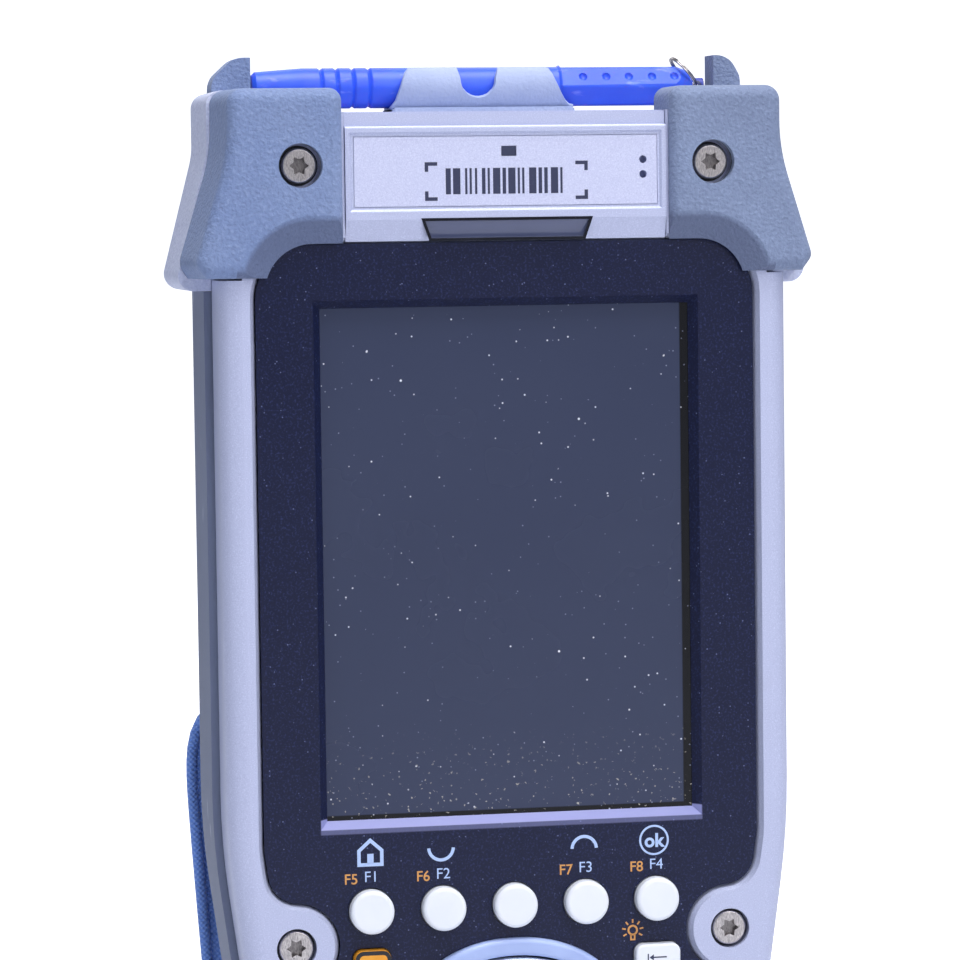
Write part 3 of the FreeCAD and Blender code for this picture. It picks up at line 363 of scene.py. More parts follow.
def woven(name, colour, lighter, thread, relief):
    """Plain weave: two crossed sets of threads that pass over and under one another."""
    made = Surface(name, colour, 0.85, Sheen_Weight=0.3, Sheen_Roughness=0.4)
    across = made.maths("SINE", made.maths("MULTIPLY", made.axis("X"), 2 * math.pi / thread))
    along = made.maths("SINE", made.maths("MULTIPLY", made.axis("Z"), 2 * math.pi / thread))
    weave = made.maths("MULTIPLY", across, along)
    made.raise_by(weave, relief)
    made.tint(made.ramp(weave, -0.4, 0.9), lighter, 0.6)
    made.tint(made.ramp(made.noise(0.01, 4), 0.4, 0.75), srgb(20, 24, 40), 0.15)
    made.done()


def ribbed_plastic(name, colour, lighter, pitch, relief):
    """Moulded plastic with fine grip ribs across it, and worn patches."""
    made = Surface(name, colour, 0.55)
    wave = made.maths("SINE", made.maths("MULTIPLY", made.axis("Z"), 2 * math.pi / pitch))
    made.raise_by(wave, relief)
    made.tint(made.ramp(made.noise(0.02, 4), 0.4, 0.7), lighter, 0.6)
    made.raise_by(made.noise(0.0004, 2), 0.00003)
    made.rough_from(made.noise(0.008), 0.46, 0.64)
    made.done()


def printed(name, colour, worn):
    """Screen-printed ink, a little broken up where it has worn."""
    made = Surface(name, colour, 0.5)
    made.tint(made.ramp(made.noise(0.0004, 3), 0.55, 0.75), worn, 0.6)
    made.done()


WHITE, WHITE_SHADE = srgb(228, 232, 242), srgb(220, 225, 238)


silver_paint()
head_silver()
label_silver()
grey_plastic()
navy_plastic()
screen_glass()
display_grey()
moulded("white_plastic", WHITE, WHITE_SHADE, 0.5)
moulded("black_rubber", srgb(24, 24, 28), srgb(36, 36, 40), 0.8)
moulded("key_rubber", srgb(60, 62, 72), srgb(74, 76, 86), 0.8)
moulded("board_green", srgb(24, 92, 52), srgb(34, 108, 62), 0.4)
moulded("nav_silver", srgb(158, 176, 226), srgb(176, 194, 238), 0.34)
moulded("nav_pale", srgb(226, 233, 250), srgb(236, 241, 253), 0.3, 0.00001)
bumper_rubber()
# Painted light: the clip is the bumper's rubber, made lighter to stand in for the light from above on
# its rounded top.
moulded("clip_rubber_lit", srgb(160, 173, 208), srgb(172, 184, 216), 0.6, 0.0001)
dark_lens()
screw_steel("screw_steel")
stylus_blue()
moulded("ring_steel", srgb(170, 165, 165), srgb(200, 196, 196), 0.25, Metallic=1.0)
moulded("dark_plastic", srgb(54, 58, 72), srgb(66, 70, 86), 0.55, 0.00005)
screw_steel("engine_metal")
moulded("scan_red", srgb(58, 8, 22), srgb(78, 12, 30), 0.12, 0.0, Coat_Weight=0.5)
woven("strap_web", srgb(36, 46, 92), srgb(62, 76, 132), 0.0011, 0.00012)
woven("strap_blue", srgb(98, 138, 222), srgb(146, 178, 244), 0.0009, 0.0001)
moulded("key_white", WHITE, WHITE_SHADE, 0.36, 0.00001)
moulded("key_gold", srgb(226, 150, 40), srgb(240, 176, 66), 0.3)
moulded("key_blue", srgb(70, 110, 205), srgb(90, 130, 220), 0.35)
printed("dark_ink", srgb(38, 44, 76), srgb(54, 60, 94))
printed("pale_ink", srgb(172, 194, 238), srgb(150, 172, 220))
printed("amber_ink", srgb(206, 148, 84), srgb(176, 124, 70))
moulded("dark_edge", srgb(14, 16, 28), srgb(24, 26, 40), 0.15, 0.00001)
ribbed_plastic("battery_ribs", srgb(54, 58, 72), srgb(66, 70, 86), 0.0024, 0.00022)
moulded("label_white", srgb(214, 216, 222), srgb(226, 228, 232), 0.6)
moulded("stitching", srgb(196, 204, 228), srgb(214, 222, 240), 0.8, 0.00004)
moulded("contact_gold", srgb(214, 176, 92), srgb(230, 196, 120), 0.25, Metallic=1.0)

slot_of = {entry["node"]: entry["material_slot"] for entry in frame["record"]["subparts"]}


def smooth(mesh, angle=30):
    """Smooth shading that breaks at edges sharper than the angle."""
    mesh.shade_smooth()
    mesh.set_sharp_from_angle(angle=math.radians(angle))


for node, piece in frame["nodes"].items():
    piece.data.materials.clear()
    piece.data.materials.append(materials[slot_of[node]])
    smooth(piece.data)
frame["nodes"]["battery_pack"].data.materials[0] = materials["battery_ribs"]
frame["nodes"]["head_shell"].data.materials[0] = materials["head_silver"]


# -------------------- mesh helpers, in millimetres
def add_object(name, data):
    item = bpy.data.objects.new(name, data)
    scene.collection.objects.link(item)
    return item


def mesh_data(mesh, name):
    """Mesh data in metres from a bmesh in millimetres, its faces turned outwards."""
    bmesh.ops.recalc_face_normals(mesh, faces=mesh.faces)
    bmesh.ops.scale(mesh, vec=(MM, MM, MM), verts=mesh.verts)
    data = bpy.data.meshes.new(name)
    mesh.to_mesh(data)
    mesh.free()
    return data


def place_piece(data, name, body, material, slot, replaced=(), angle=30):
    """Put a mesh in the scene as a piece of a body, in place of any replaced nodes."""
    piece = add_object(name, data)
    data.materials.clear()
    data.materials.append(materials[material])
    smooth(data, angle)
    if replaced:
        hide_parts(*replaced)
    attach(piece, body)
    return piece


def finish_piece(mesh, name, *settings):
    """Turn a bmesh in millimetres into a piece, with the settings of place_piece."""
    place_piece(mesh_data(mesh, name), name, *settings)


def soften(mesh, offset):
    bmesh.ops.bevel(mesh, geom=mesh.edges[:], offset=offset, segments=2, affect="EDGES")


def skin(mesh, rings):
    """Join a row of closed rings of equal length, and cap both ends."""
    for first, second in zip(rings, rings[1:]):
        for index in range(len(first)):
            following = (index + 1) % len(first)
            mesh.faces.new((first[index], first[following], second[following], second[index]))
    mesh.faces.new(list(reversed(rings[0])))
    mesh.faces.new(rings[-1])


def prism(mesh, outline, front, back):
    """A closed prism: an outline of (x, z) places from one depth to a greater one."""
    rings = [[mesh.verts.new((x, depth, z)) for x, z in outline] for depth in (front, back)]
    count = len(outline)
    mesh.faces.new(rings[0])
    mesh.faces.new(list(reversed(rings[1])))
    for index in range(count):
        following = (index + 1) % count
        mesh.faces.new((rings[0][index], rings[1][index], rings[1][following], rings[0][following]))


def box(mesh, left, right, low, high, front, back):
    prism(mesh, [(left, low), (right, low), (right, high), (left, high)], front, back)


def circle_points(x, z, radius, start=0.0, end=360.0, steps=32):
    """Places along an arc, its angles in degrees; a full circle repeats its first place."""
    angles = [math.radians(start + (end - start) * step / steps) for step in range(steps + 1)]
    return [(x + radius * math.cos(angle), z + radius * math.sin(angle)) for angle in angles]


def stroke(mesh, points, width, front, back, closed=False):
    """A flat line of some width along a row of (x, z) places."""
    spots = [Vector(point) for point in points]
    count = len(spots)
    sides = ([], [])
    for index, spot in enumerate(spots):
        before = spots[index - 1] if closed or index else None
        after = spots[(index + 1) % count] if closed or index < count - 1 else None
        runs = []
        if before is not None:
            runs.append((spot - before).normalized())
        if after is not None:
            runs.append((after - spot).normalized())
        run = sum(runs, Vector((0, 0))).normalized()
        across = Vector((-run.y, run.x))
        share = max(0.4, run.dot(runs[0]))
        for side, way in zip(sides, (1, -1)):
            side.append(spot + across * way * width / 2 / share)
    if not closed:
        prism(mesh, sides[0] + list(reversed(sides[1])), front, back)
        return
    rings = [[mesh.verts.new((spot.x, depth, spot.y)) for spot in side]
             for side in sides for depth in (front, back)]
    for index in range(count):
        following = (index + 1) % count
        for first, second in ((0, 1), (1, 3), (3, 2), (2, 0)):
            mesh.faces.new((rings[first][index], rings[second][index],
                            rings[second][following], rings[first][following]))


def lettering(mesh, text, x, z, size, front, back, bold=0.0):
    """Plain generic letters or digits, x at their middle and z at their foot."""
    curve = bpy.data.curves.new("text", "FONT")
    curve.body = text
    curve.size = size
    curve.align_x = "CENTER"
    curve.offset = bold
    curve.extrude = (back - front) / 2
    curve.resolution_u = 4
    item = bpy.data.objects.new("text", curve)
    data = bpy.data.meshes.new_from_object(item)
    turn = Matrix.Translation((x, (front + back) / 2, z)) @ Matrix.Rotation(math.pi / 2, 4, "X")
    data.transform(turn)
    mesh.from_mesh(data)
    bpy.data.objects.remove(item)
    bpy.data.curves.remove(curve)
    bpy.data.meshes.remove(data)


def tube(mesh, path, radius, sides=10, closed=True):
    """A round tube along a row of places; its two ends are joined, or capped."""
    spots = [Vector(spot) for spot in path]
    count = len(spots)
    rings = []
    normal = None
    for index, spot in enumerate(spots):
        if closed:
            run = spots[(index + 1) % count] - spots[index - 1]
        else:
            run = spots[min(index + 1, count - 1)] - spots[max(index - 1, 0)]
        run.normalize()
        if normal is None:
            normal = run.orthogonal().normalized()
        normal = (normal - run * normal.dot(run)).normalized()
        other = run.cross(normal)
        rings.append([mesh.verts.new(spot + radius * (math.cos(2 * math.pi * side / sides) * normal
                                                      + math.sin(2 * math.pi * side / sides) * other))
                      for side in range(sides)])
    for index in range(count if closed else count - 1):
        first, second = rings[index], rings[(index + 1) % count]
        offset = 0
        if index == count - 1:
            gaps = [(first[0].co - second[shift].co).length for shift in range(sides)]
            offset = gaps.index(min(gaps))
        for side in range(sides):
            following = (side + 1) % sides
            mesh.faces.new((first[side], first[following],
                            second[(following + offset) % sides], second[(side + offset) % sides]))
    if not closed:
        mesh.faces.new(list(reversed(rings[0])))
        mesh.faces.new(rings[-1])


# -------------------- head details
PLATE_FRONT = -15.9
INK = 0.02


def make_plate_print():
    """A generic barcode with corner brackets, in dark ink on the name plate."""
    mesh = bmesh.new()
    front, back = PLATE_FRONT - INK, PLATE_FRONT + INK
    place = -9.6
    draw = random.Random(7)
    while place < 9.4:
        wide = draw.choice((0.35, 0.55, 0.8, 1.15))
        box(mesh, place, place + wide, 171.2, 175.2, front, back)
        place += wide + draw.choice((0.35, 0.5, 0.75))
    for side in (-1, 1):
        for low, high in ((170.5, 171.7), (175.9, 174.7)):
            points = [(side * 10.9, low), (side * 12.6, low), (side * 12.6, high)]
            stroke(mesh, points, 0.55, front, back)
    finish_piece(mesh, "plate_print", "casing", "dark_ink", "dark_lens")


def make_light_sensor():
    """The small dark window above the barcode."""
    mesh = bmesh.new()
    box(mesh, -0.75, 1.55, 177.05, 178.55, PLATE_FRONT + 0.05, PLATE_FRONT + 0.28)
    soften(mesh, 0.06)
    finish_piece(mesh, "light_sensor", "casing", "dark_ink", "dark_lens")


def make_lens_frame():
    """The thin dark moulding that holds the status lens."""
    mesh = bmesh.new()
    outline = [(-12.15, 164.25), (12.15, 164.25), (13.25, 167.35), (-13.25, 167.35)]
    stroke(mesh, outline, 0.45, PLATE_FRONT - 0.34, PLATE_FRONT, closed=True)
    finish_piece(mesh, "lens_frame", "casing", "dark_edge", "dark_lens")


def make_mould_lines():
    """Fine witness lines beside the bumper screws."""
    for name, side in (("left", -1), ("right", 1)):
        mesh = bmesh.new()
        inner = side * 27.6
        points = [(side * 29.6, 180.7), (inner, 180.7), (inner, 171.0), (side * 29.8, 171.0)]
        stroke(mesh, points, 0.1, -18.03, -17.97)
        finish_piece(mesh, f"mould_line_{name}", "casing", "bumper_rubber", "bumper_rubber")


def make_split_ring():
    """Two turns of wire side by side, in place of the plain ring."""
    mesh = bmesh.new()
    low, high = [Vector(corner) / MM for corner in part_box("stylus_ring")]
    centre = (low + high) / 2
    radius = (high.y - low.y) / 2 - 0.35
    lean = math.radians(-40)
    up = Vector((math.sin(lean), 0, math.cos(lean)))
    axis = Vector((math.cos(lean), 0, -math.sin(lean)))
    path = []
    turns, steps = 2, 48
    for step in range(turns * steps + 1):
        angle = 2 * math.pi * step / steps
        drift = (step / (turns * steps) - 0.5) * 0.46
        path.append(centre + radius * (math.cos(angle) * Vector((0, 1, 0)) + math.sin(angle) * up)
                    + axis * drift)
    tube(mesh, path, 0.2, closed=False)
    finish_piece(mesh, "split_ring", "stylus_ring", "ring_steel", "ring_steel", ["stylus_ring"])


CLIP_TOP, CLIP_FLANGE, CLIP_DIP = 191.0, 185.05, 186.45
CLIP_OUTER, CLIP_INNER = 4.85, 3.3
CLIP_LEFT, CLIP_RIGHT = -15.0, 14.3
CLIP_GAP, CLIP_GAP_HALF = -1.25, 2.85
CLIP_GRIP, CLIP_GRIP_ROOM = 11.9, 0.3


def clip_height(x):
    """Height of the clip's rim: two lobes with a round gap between them and swept flanks."""
    def rise(share):
        share = min(max(share, 0.0), 1.0)
        return share * share * (3 - 2 * share)
    left, right = rise((x - CLIP_LEFT) / 2.6), rise((CLIP_RIGHT - x) / 4.4)
    height = CLIP_FLANGE + (CLIP_TOP - CLIP_FLANGE) * min(left, right ** 1.4)
    from_gap = abs(x - CLIP_GAP)
    shoulder = CLIP_DIP + CLIP_GAP_HALF
    if from_gap < CLIP_GAP_HALF:
        return min(height, shoulder - math.sqrt(CLIP_GAP_HALF ** 2 - from_gap ** 2))
    lip = rise((from_gap - CLIP_GAP_HALF) / 0.7 + 0.25)
    return min(height, shoulder + (CLIP_TOP - shoulder) * lip)


def make_clip_cuff():
    """The stylus clip as one curved cuff round the stylus, open above, on a thin flange."""
    low, high = [Vector(corner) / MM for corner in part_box("stylus_holder")]
    shaft = [Vector(corner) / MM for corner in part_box("stylus")]
    middle_y, middle_z = (low.y + high.y) / 2, (shaft[0].z + shaft[1].z) / 2
    mesh = bmesh.new()
    stations = [low.x + (high.x - low.x) * step / 44 for step in range(45)]
    stations += [CLIP_GAP + side * reach for side in (-1, 1)
                 for reach in (2.4, 2.65, 2.78, CLIP_GAP_HALF, 2.92, 3.05, 3.25, 3.55)]
    stations += [CLIP_GRIP - 0.05, CLIP_GRIP + 0.05]
    rings = []
    for x in sorted(stations):
        height = clip_height(x)
        bore = CLIP_INNER if x < CLIP_GRIP else CLIP_INNER + CLIP_GRIP_ROOM
        above = height - middle_z
        widest = math.pi - math.acos(max(-1, min(1, above / CLIP_OUTER)))
        inner_turn = min(math.pi / 2, math.acos(max(-1, min(1, -above / bore))))
        inner_length = bore * inner_turn + max(above, 0)
        ring = []
        for step in range(-16, 17):
            angle = widest * step / 16
            z = max(middle_z - CLIP_OUTER * math.cos(angle), low.z)
            ring.append((x, middle_y + CLIP_OUTER * math.sin(angle), z))
        crest = height + 0.3
        ring.append((x, middle_y + (CLIP_OUTER * math.sin(widest) + bore) / 2, crest))
        for step in range(16, -17, -1):
            run = inner_length * step / 16
            turn = max(-math.pi / 2, min(math.pi / 2, run / bore))
            extra = max(abs(run) - bore * math.pi / 2, 0)
            ring.append((x, middle_y + bore * math.sin(turn),
                         middle_z - bore * math.cos(turn) + extra))
        ring.append((x, middle_y - (CLIP_OUTER * math.sin(widest) + bore) / 2, crest))
        rings.append([mesh.verts.new(place) for place in ring])
    skin(mesh, rings)
    flange = bmesh.new()
    box(flange, low.x, high.x, low.z, CLIP_FLANGE - 0.05, low.y, high.y)
    soften(flange, 0.25)
    data = bpy.data.meshes.new("flange")
    flange.to_mesh(data)
    flange.free()
    mesh.from_mesh(data)
    bpy.data.meshes.remove(data)
    # The clip wears the lighter copy of the bumper rubber, with the light from above painted in.
    finish_piece(mesh, "stylus_clip", "casing", "clip_rubber_lit", "bumper_rubber", ["stylus_holder"], 50)


make_clip_cuff()
make_plate_print()
make_light_sensor()
make_lens_frame()
make_mould_lines()
make_split_ring()

# -------------------- legends
BEZEL_FRONT = -15.0
KEY_PITCH = 11.4
LAMP_X, LAMP_Z = 19.0, 55.0


def make_bezel_print():
    """Key legends: function numbers, a house, two arcs, an ok and a lamp."""
    front, back = BEZEL_FRONT - INK, BEZEL_FRONT + INK
    pale = bmesh.new()
    amber = bmesh.new()
    legends = ((-2, "F1", "F5"), (-1, "F2", "F6"), (1, "F3", "F7"), (2, "F4", "F8"))
    for column, pale_text, amber_text in legends:
        x = column * KEY_PITCH
        lettering(pale, pale_text, x + 0.1, 64.6, 2.4, front, back)
        lettering(amber, amber_text, x - 3.1, 64.35, 2.3, front, back, bold=0.02)
    home = [(-24.6, 67.3), (-24.6, 69.5), (-22.8, 71.1), (-21.0, 69.5), (-21.0, 67.3)]
    stroke(pale, home, 0.55, front, back, closed=True)
    box(pale, -23.3, -22.3, 67.5, 69.0, front, back)
    stroke(pale, circle_points(-11.6, 69.5, 1.95, 182, 358), 0.5, front, back)
    stroke(pale, circle_points(11.3, 68.3, 1.95, 2, 178), 0.5, front, back)
    stroke(pale, circle_points(22.6, 69.2, 2.25, steps=40)[:-1], 0.32, front, back, closed=True)
    lettering(pale, "ok", 22.6, 68.15, 3.0, front, back, bold=0.09)
    stroke(amber, circle_points(LAMP_X, LAMP_Z, 0.7, steps=20)[:-1], 0.3, front, back, closed=True)
    stroke(amber, [(18.7, 54.4), (18.7, 53.5), (19.3, 53.5), (19.3, 54.4)], 0.25, front, back)
    for angle in range(-30, 211, 40):
        turn = math.radians(angle)
        ray = [(LAMP_X + reach * math.cos(turn), LAMP_Z + reach * math.sin(turn))
               for reach in (1.15, 1.75)]
        stroke(amber, ray, 0.25, front, back)
    finish_piece(pale, "bezel_print_pale", "casing", "pale_ink", "key_blue")
    finish_piece(amber, "bezel_print_amber", "casing", "amber_ink", "key_gold")


def arrow(mesh, tip, tail, width, head, front, back):
    """A line with an arrowhead at its tip."""
    tip, tail = Vector(tip), Vector(tail)
    run = (tip - tail).normalized()
    across = Vector((-run.y, run.x))
    neck = tip - run * head
    stroke(mesh, [tail, neck + run * 0.05], width, front, back)
    prism(mesh, [tip, neck + across * head * 0.7, neck - across * head * 0.7], front, back)


def key_print(name, draw):
    """Ink on a key's face, riding with the key."""
    low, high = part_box(name)
    mesh = bmesh.new()
    front = low.y / MM
    draw(mesh, (low.x + high.x) / 2 / MM, (low.z + high.z) / 2 / MM, front - 0.015, front + 0.02)
    finish_piece(mesh, f"print_{name}", name, "dark_ink", "dark_lens")


def digits(text):
    def draw(mesh, x, z, front, back):
        lettering(mesh, text, x, z - 1.1, 3.2, front, back, bold=0.05)
    return draw


def tab_arrows(mesh, x, z, front, back):
    for side in (-1, 1):
        row = z - side * 0.8
        box(mesh, x + side * 1.7 - 0.1, x + side * 1.7 + 0.1, row - 0.6, row + 0.6, front, back)
        arrow(mesh, (x + side * 1.5, row), (x - side * 1.3, row), 0.22, 0.7, front, back)


def turn_back(mesh, x, z, front, back):
    arrow(mesh, (x - 1.9, z - 0.3), (x + 1.6, z - 0.3), 0.3, 0.9, front, back)
    stroke(mesh, [(x + 1.6, z - 0.45), (x + 1.6, z + 1.2)], 0.3, front, back)


def shift_mark(mesh, x, z, front, back):
    outline = [(x, z + 1.5), (x + 1.4, z), (x + 0.6, z), (x + 0.6, z - 1.4), (x - 0.6, z - 1.4),
               (x - 0.6, z), (x - 1.4, z)]
    stroke(mesh, outline, 0.28, front, back, closed=True)


def power_mark(mesh, x, z, front, back):
    stroke(mesh, circle_points(x, z - 0.1, 1.2, 130, 410, 24), 0.3, front, back)
    stroke(mesh, [(x, z + 0.1), (x, z + 1.4)], 0.3, front, back)


def bars(count):
    def draw(mesh, x, z, front, back):
        for index in range(count):
            row = z + (index - (count - 1) / 2) * 0.9
            box(mesh, x - 1.4, x + 1.4, row - 0.15, row + 0.15, front, back)
    return draw


def pointing(dx, dz):
    def draw(mesh, x, z, front, back):
        arrow(mesh, (x + 1.5 * dx, z + 1.5 * dz), (x - 1.4 * dx, z - 1.4 * dz), 0.3, 0.95, front, back)
    return draw


def make_key_prints():
    for number in range(10):
        key_print(f"key_{number}", digits(str(number)))
    marks = {"key_tab": tab_arrows, "key_esc": bars(1), "key_left_1": pointing(-1, 0),
             "key_left_2": bars(2), "key_left_3": bars(3), "key_right_1": pointing(1, 0),
             "key_right_2": pointing(0, 1), "key_right_3": pointing(0, -1), "key_enter": turn_back,
             "key_power": power_mark, "key_gold": shift_mark, "key_blue": shift_mark}
    for name, draw in marks.items():
        key_print(name, draw)


def make_nav_print():
    """Four arrowheads and a small ring on the navigation pad."""
    def draw(mesh, x, z, front, back):
        for dx, dz, reach in ((0, 1, 5.2), (0, -1, 5.2), (1, 0, 10.4), (-1, 0, 10.4)):
            tip = Vector((x + dx * (reach + 0.9), z + dz * (reach + 0.9)))
            run = Vector((dx, dz))
            across = Vector((-dz, dx))
            foot = tip - run * 1.6
            prism(mesh, [tip, foot + across * 1.5, foot - across * 1.5], front, back)
        stroke(mesh, circle_points(x, z, 2.0, steps=32)[:-1], 0.28, front, back, closed=True)
    key_print("nav_pad", draw)


def make_key_edges():
    """A dark glossy edge round the faces of the gold and the blue key."""
    for name in ("key_gold", "key_blue"):
        low, high = [Vector(corner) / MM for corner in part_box(name)]
        x, z = (low.x + high.x) / 2, (low.z + high.z) / 2
        half_wide, half_tall = (high.x - low.x) / 2 - 0.5, (high.z - low.z) / 2 - 0.5
        mesh = bmesh.new()
        outline = []
        for corner in range(4):
            cx = x + (half_wide - 1.4) * (1 if corner in (0, 3) else -1)
            cz = z + (half_tall - 1.4) * (1 if corner in (0, 1) else -1)
            outline += circle_points(cx, cz, 1.02, corner * 90, corner * 90 + 90, 6)
        stroke(mesh, outline, 0.62, low.y - 0.012, low.y + 0.35, closed=True)
        finish_piece(mesh, f"{name}_edge", name, "dark_edge", "dark_lens")


make_bezel_print()
make_key_prints()
make_nav_print()
make_key_edges()


# -------------------- back details
def make_back_details():
    """The battery's label and its print, the latch's ridges and the dock contacts."""
    low, high = [Vector(corner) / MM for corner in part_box("battery_pack")]
    face = high.y
    ink = (face + 0.05, face + 0.09)
    mesh = bmesh.new()
    box(mesh, -24, 24, 72.5, 91.0, face - 0.05, face + 0.06)
    finish_piece(mesh, "battery_label", "casing", "label_white", "label_silver")
    mesh = bmesh.new()
    draw = random.Random(11)
    place = -20.0
    while place < 4.0:
        wide = draw.choice((0.35, 0.5, 0.9))
        box(mesh, place, place + wide, 80.5, 87.5, *ink)
        place += wide + draw.choice((0.4, 0.6, 0.9))
    for row in range(4):
        right = 20.0 - 3.0 * (row % 2)
        box(mesh, -20.0, right, 74.4 + row * 1.4, 74.75 + row * 1.4, *ink)
    stroke(mesh, [(9, 81), (20, 81), (20, 87), (9, 87)], 0.35, *ink, closed=True)
    finish_piece(mesh, "battery_print", "casing", "dark_ink", "dark_lens")
    low, high = [Vector(corner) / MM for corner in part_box("battery_latch")]
    mesh = bmesh.new()
    for row in range(4):
        z = low.z + 1.6 + row * 1.35
        box(mesh, -6.2, 6.2, z, z + 0.6, high.y - 0.3, high.y + 0.35)
    soften(mesh, 0.14)
    finish_piece(mesh, "latch_ridges", "battery_latch", "dark_plastic", "dark_plastic")
    mesh = bmesh.new()
    for column in range(8):
        x = -8.05 + column * 2.3
        box(mesh, x - 0.5, x + 0.5, 3.2, 4.0, 6.1, 7.4)
    finish_piece(mesh, "dock_contacts", "casing", "contact_gold", "engine_metal")


make_back_details()


# -------------------- hand strap
STRAP_HALF = 18.5
PIN_Y, PIN_LOW, PIN_HIGH = 18.6, 6.5, 112.0
WEB_THICK = 1.5
TAIL_LOW = 77
TAIL_FACE, TAIL_SLOPE = 34.9 + 0.4 * WEB_THICK, 0.094
PAD_HALF_WIDE, PAD_HALF_TALL, PAD_MIDDLE = 44.3, 34.3, 56.5
PAD_FLARE, PAD_POWER = 0.055, 7
PAD_BACK = 33.6
CHANNEL, CHANNEL_HALF = 0.88, 0.035


def smooth_path(corners, radius, steps=8):
    """A row of places with each inner corner rounded."""
    spots = [Vector(corner) for corner in corners]
    path = [spots[0]]
    for index in range(1, len(spots) - 1):
        before, spot, after = spots[index - 1:index + 2]
        reach = min(radius, (before - spot).length * 0.45, (after - spot).length * 0.45)
        start = spot + (before - spot).normalized() * reach
        end = spot + (after - spot).normalized() * reach
        for step in range(steps + 1):
            share = step / steps
            path.append(start * (1 - share) ** 2 + spot * 2 * share * (1 - share) + end * share ** 2)
    path.append(spots[-1])
    return path


def band(mesh, path, half_wide, thick):
    """A flat strap along a row of (y, z) places, with softly rounded edges."""
    profile = [(-half_wide, -0.2), (-half_wide, 0.2), (-half_wide + 0.5, 0.5), (half_wide - 0.5, 0.5),
               (half_wide, 0.2), (half_wide, -0.2), (half_wide - 0.5, -0.5), (-half_wide + 0.5, -0.5)]
    rings = []
    for index, spot in enumerate(path):
        run = path[min(index + 1, len(path) - 1)] - path[max(index - 1, 0)]
        run.normalize()
        across = Vector((run.y, -run.x))
        rings.append([mesh.verts.new((x, *(spot + across * share * thick))) for x, share in profile])
    skin(mesh, rings)


def loop_round(pin_z, way):
    """The turn of webbing round a pin: from the outer run over the pin and back."""
    reach = 2.2
    turns = [math.radians(angle) for angle in range(40, 330, 18)]
    return [(PIN_Y + reach * math.cos(turn), pin_z + way * reach * math.sin(turn)) for turn in turns]


def make_webbing():
    """The strap from pin to pin and its folded tail, in place of the plain webbing."""
    mesh = bmesh.new()
    outer = PIN_Y + 2.6
    run = [(outer + 1.2, PIN_LOW + 2.4), (33.4, 22), (34.7, 38), (34.8, 54.5), (34.7, 71), (33.4, 87),
           (outer + 1.2, PIN_HIGH - 2.4)]
    path = smooth_path(run, 9)
    low_loop = [Vector(point) for point in reversed(loop_round(PIN_LOW, -1))]
    high_loop = [Vector(point) for point in loop_round(PIN_HIGH, 1)]
    band(mesh, low_loop + path + high_loop, STRAP_HALF, WEB_THICK)
    tail_run = [(PIN_Y + 3.0, PIN_HIGH - 2.0), (24.0, 104.0), (32.6, 86.6), (33.6, 76)]
    tail_path = [spot + Vector((1.3, 0.9)) for spot in smooth_path(tail_run, 7)]
    band(mesh, tail_path, STRAP_HALF - 0.6, WEB_THICK * 0.8)
    finish_piece(mesh, "webbing", "casing", "strap_web", "strap_web", ["strap_webbing"], 50)
    return path


def stitch_row(mesh, points, length=1.7, gap=1.0, radius=0.2):
    """Dashes of thread along a row of places."""
    spots = [Vector(point) for point in points]
    travelled, drawing, dash = 0.0, True, [spots[0]]
    for before, after in zip(spots, spots[1:]):
        step = (after - before).length
        travelled += step
        if drawing:
            dash.append(after)
        if travelled >= (length if drawing else gap):
            if drawing and len(dash) > 1:
                tube(mesh, dash, radius, 6, closed=False)
            drawing = not drawing
            travelled = 0.0
            dash = [after]


def pad_outline(share, steps=220):
    """Places round the pad, share 1 at its rim, as a rounded rectangle."""
    spots = []
    for step in range(steps):
        angle = 2 * math.pi * step / steps
        across, up = math.cos(angle), math.sin(angle)
        reach = (abs(across) ** PAD_POWER + abs(up) ** PAD_POWER) ** (-1 / PAD_POWER)
        flare = 1 + PAD_FLARE * share * reach * up
        spots.append((share * PAD_HALF_WIDE * reach * across * flare,
                      share * PAD_HALF_TALL * reach * up))
    return spots


def pad_middle(x, z):
    """Depth of the pad's middle surface: it bends with the strap and round the hand."""
    return 30.6 - 1.6 * (z / PAD_HALF_TALL) ** 2 - 1.0 * (x / PAD_HALF_WIDE) ** 2


def make_pad_mesh():
    """The pad laid out flat and slim, ready to be filled."""
    mesh = bmesh.new()
    rings = [0.0, 0.12, 0.25, 0.38, 0.5, 0.61, 0.71, 0.8, 0.87, 0.93, 0.97, 1.0]
    steps = 72
    layers = []
    for way in (-1, 1):
        rows = []
        for share in rings:
            thin = 1.5 * (1 - share ** 4) + 0.35
            row = []
            for x, z in pad_outline(max(share, 1e-4), steps):
                row.append(mesh.verts.new((x, pad_middle(x, z) + way * thin, PAD_MIDDLE + z)))
            rows.append(row)
        layers.append(rows)
    for way, rows in enumerate(layers):
        for first, second in zip(rows, rows[1:]):
            for index in range(steps):
                following = (index + 1) % steps
                face = (first[index], first[following], second[following], second[index])
                mesh.faces.new(face if way else tuple(reversed(face)))
    for index in range(steps):
        following = (index + 1) % steps
        mesh.faces.new((layers[0][-1][index], layers[0][-1][following],
                        layers[1][-1][following], layers[1][-1][index]))
    bmesh.ops.remove_doubles(mesh, verts=mesh.verts, dist=0.02)
    return mesh_data(mesh, "pad")


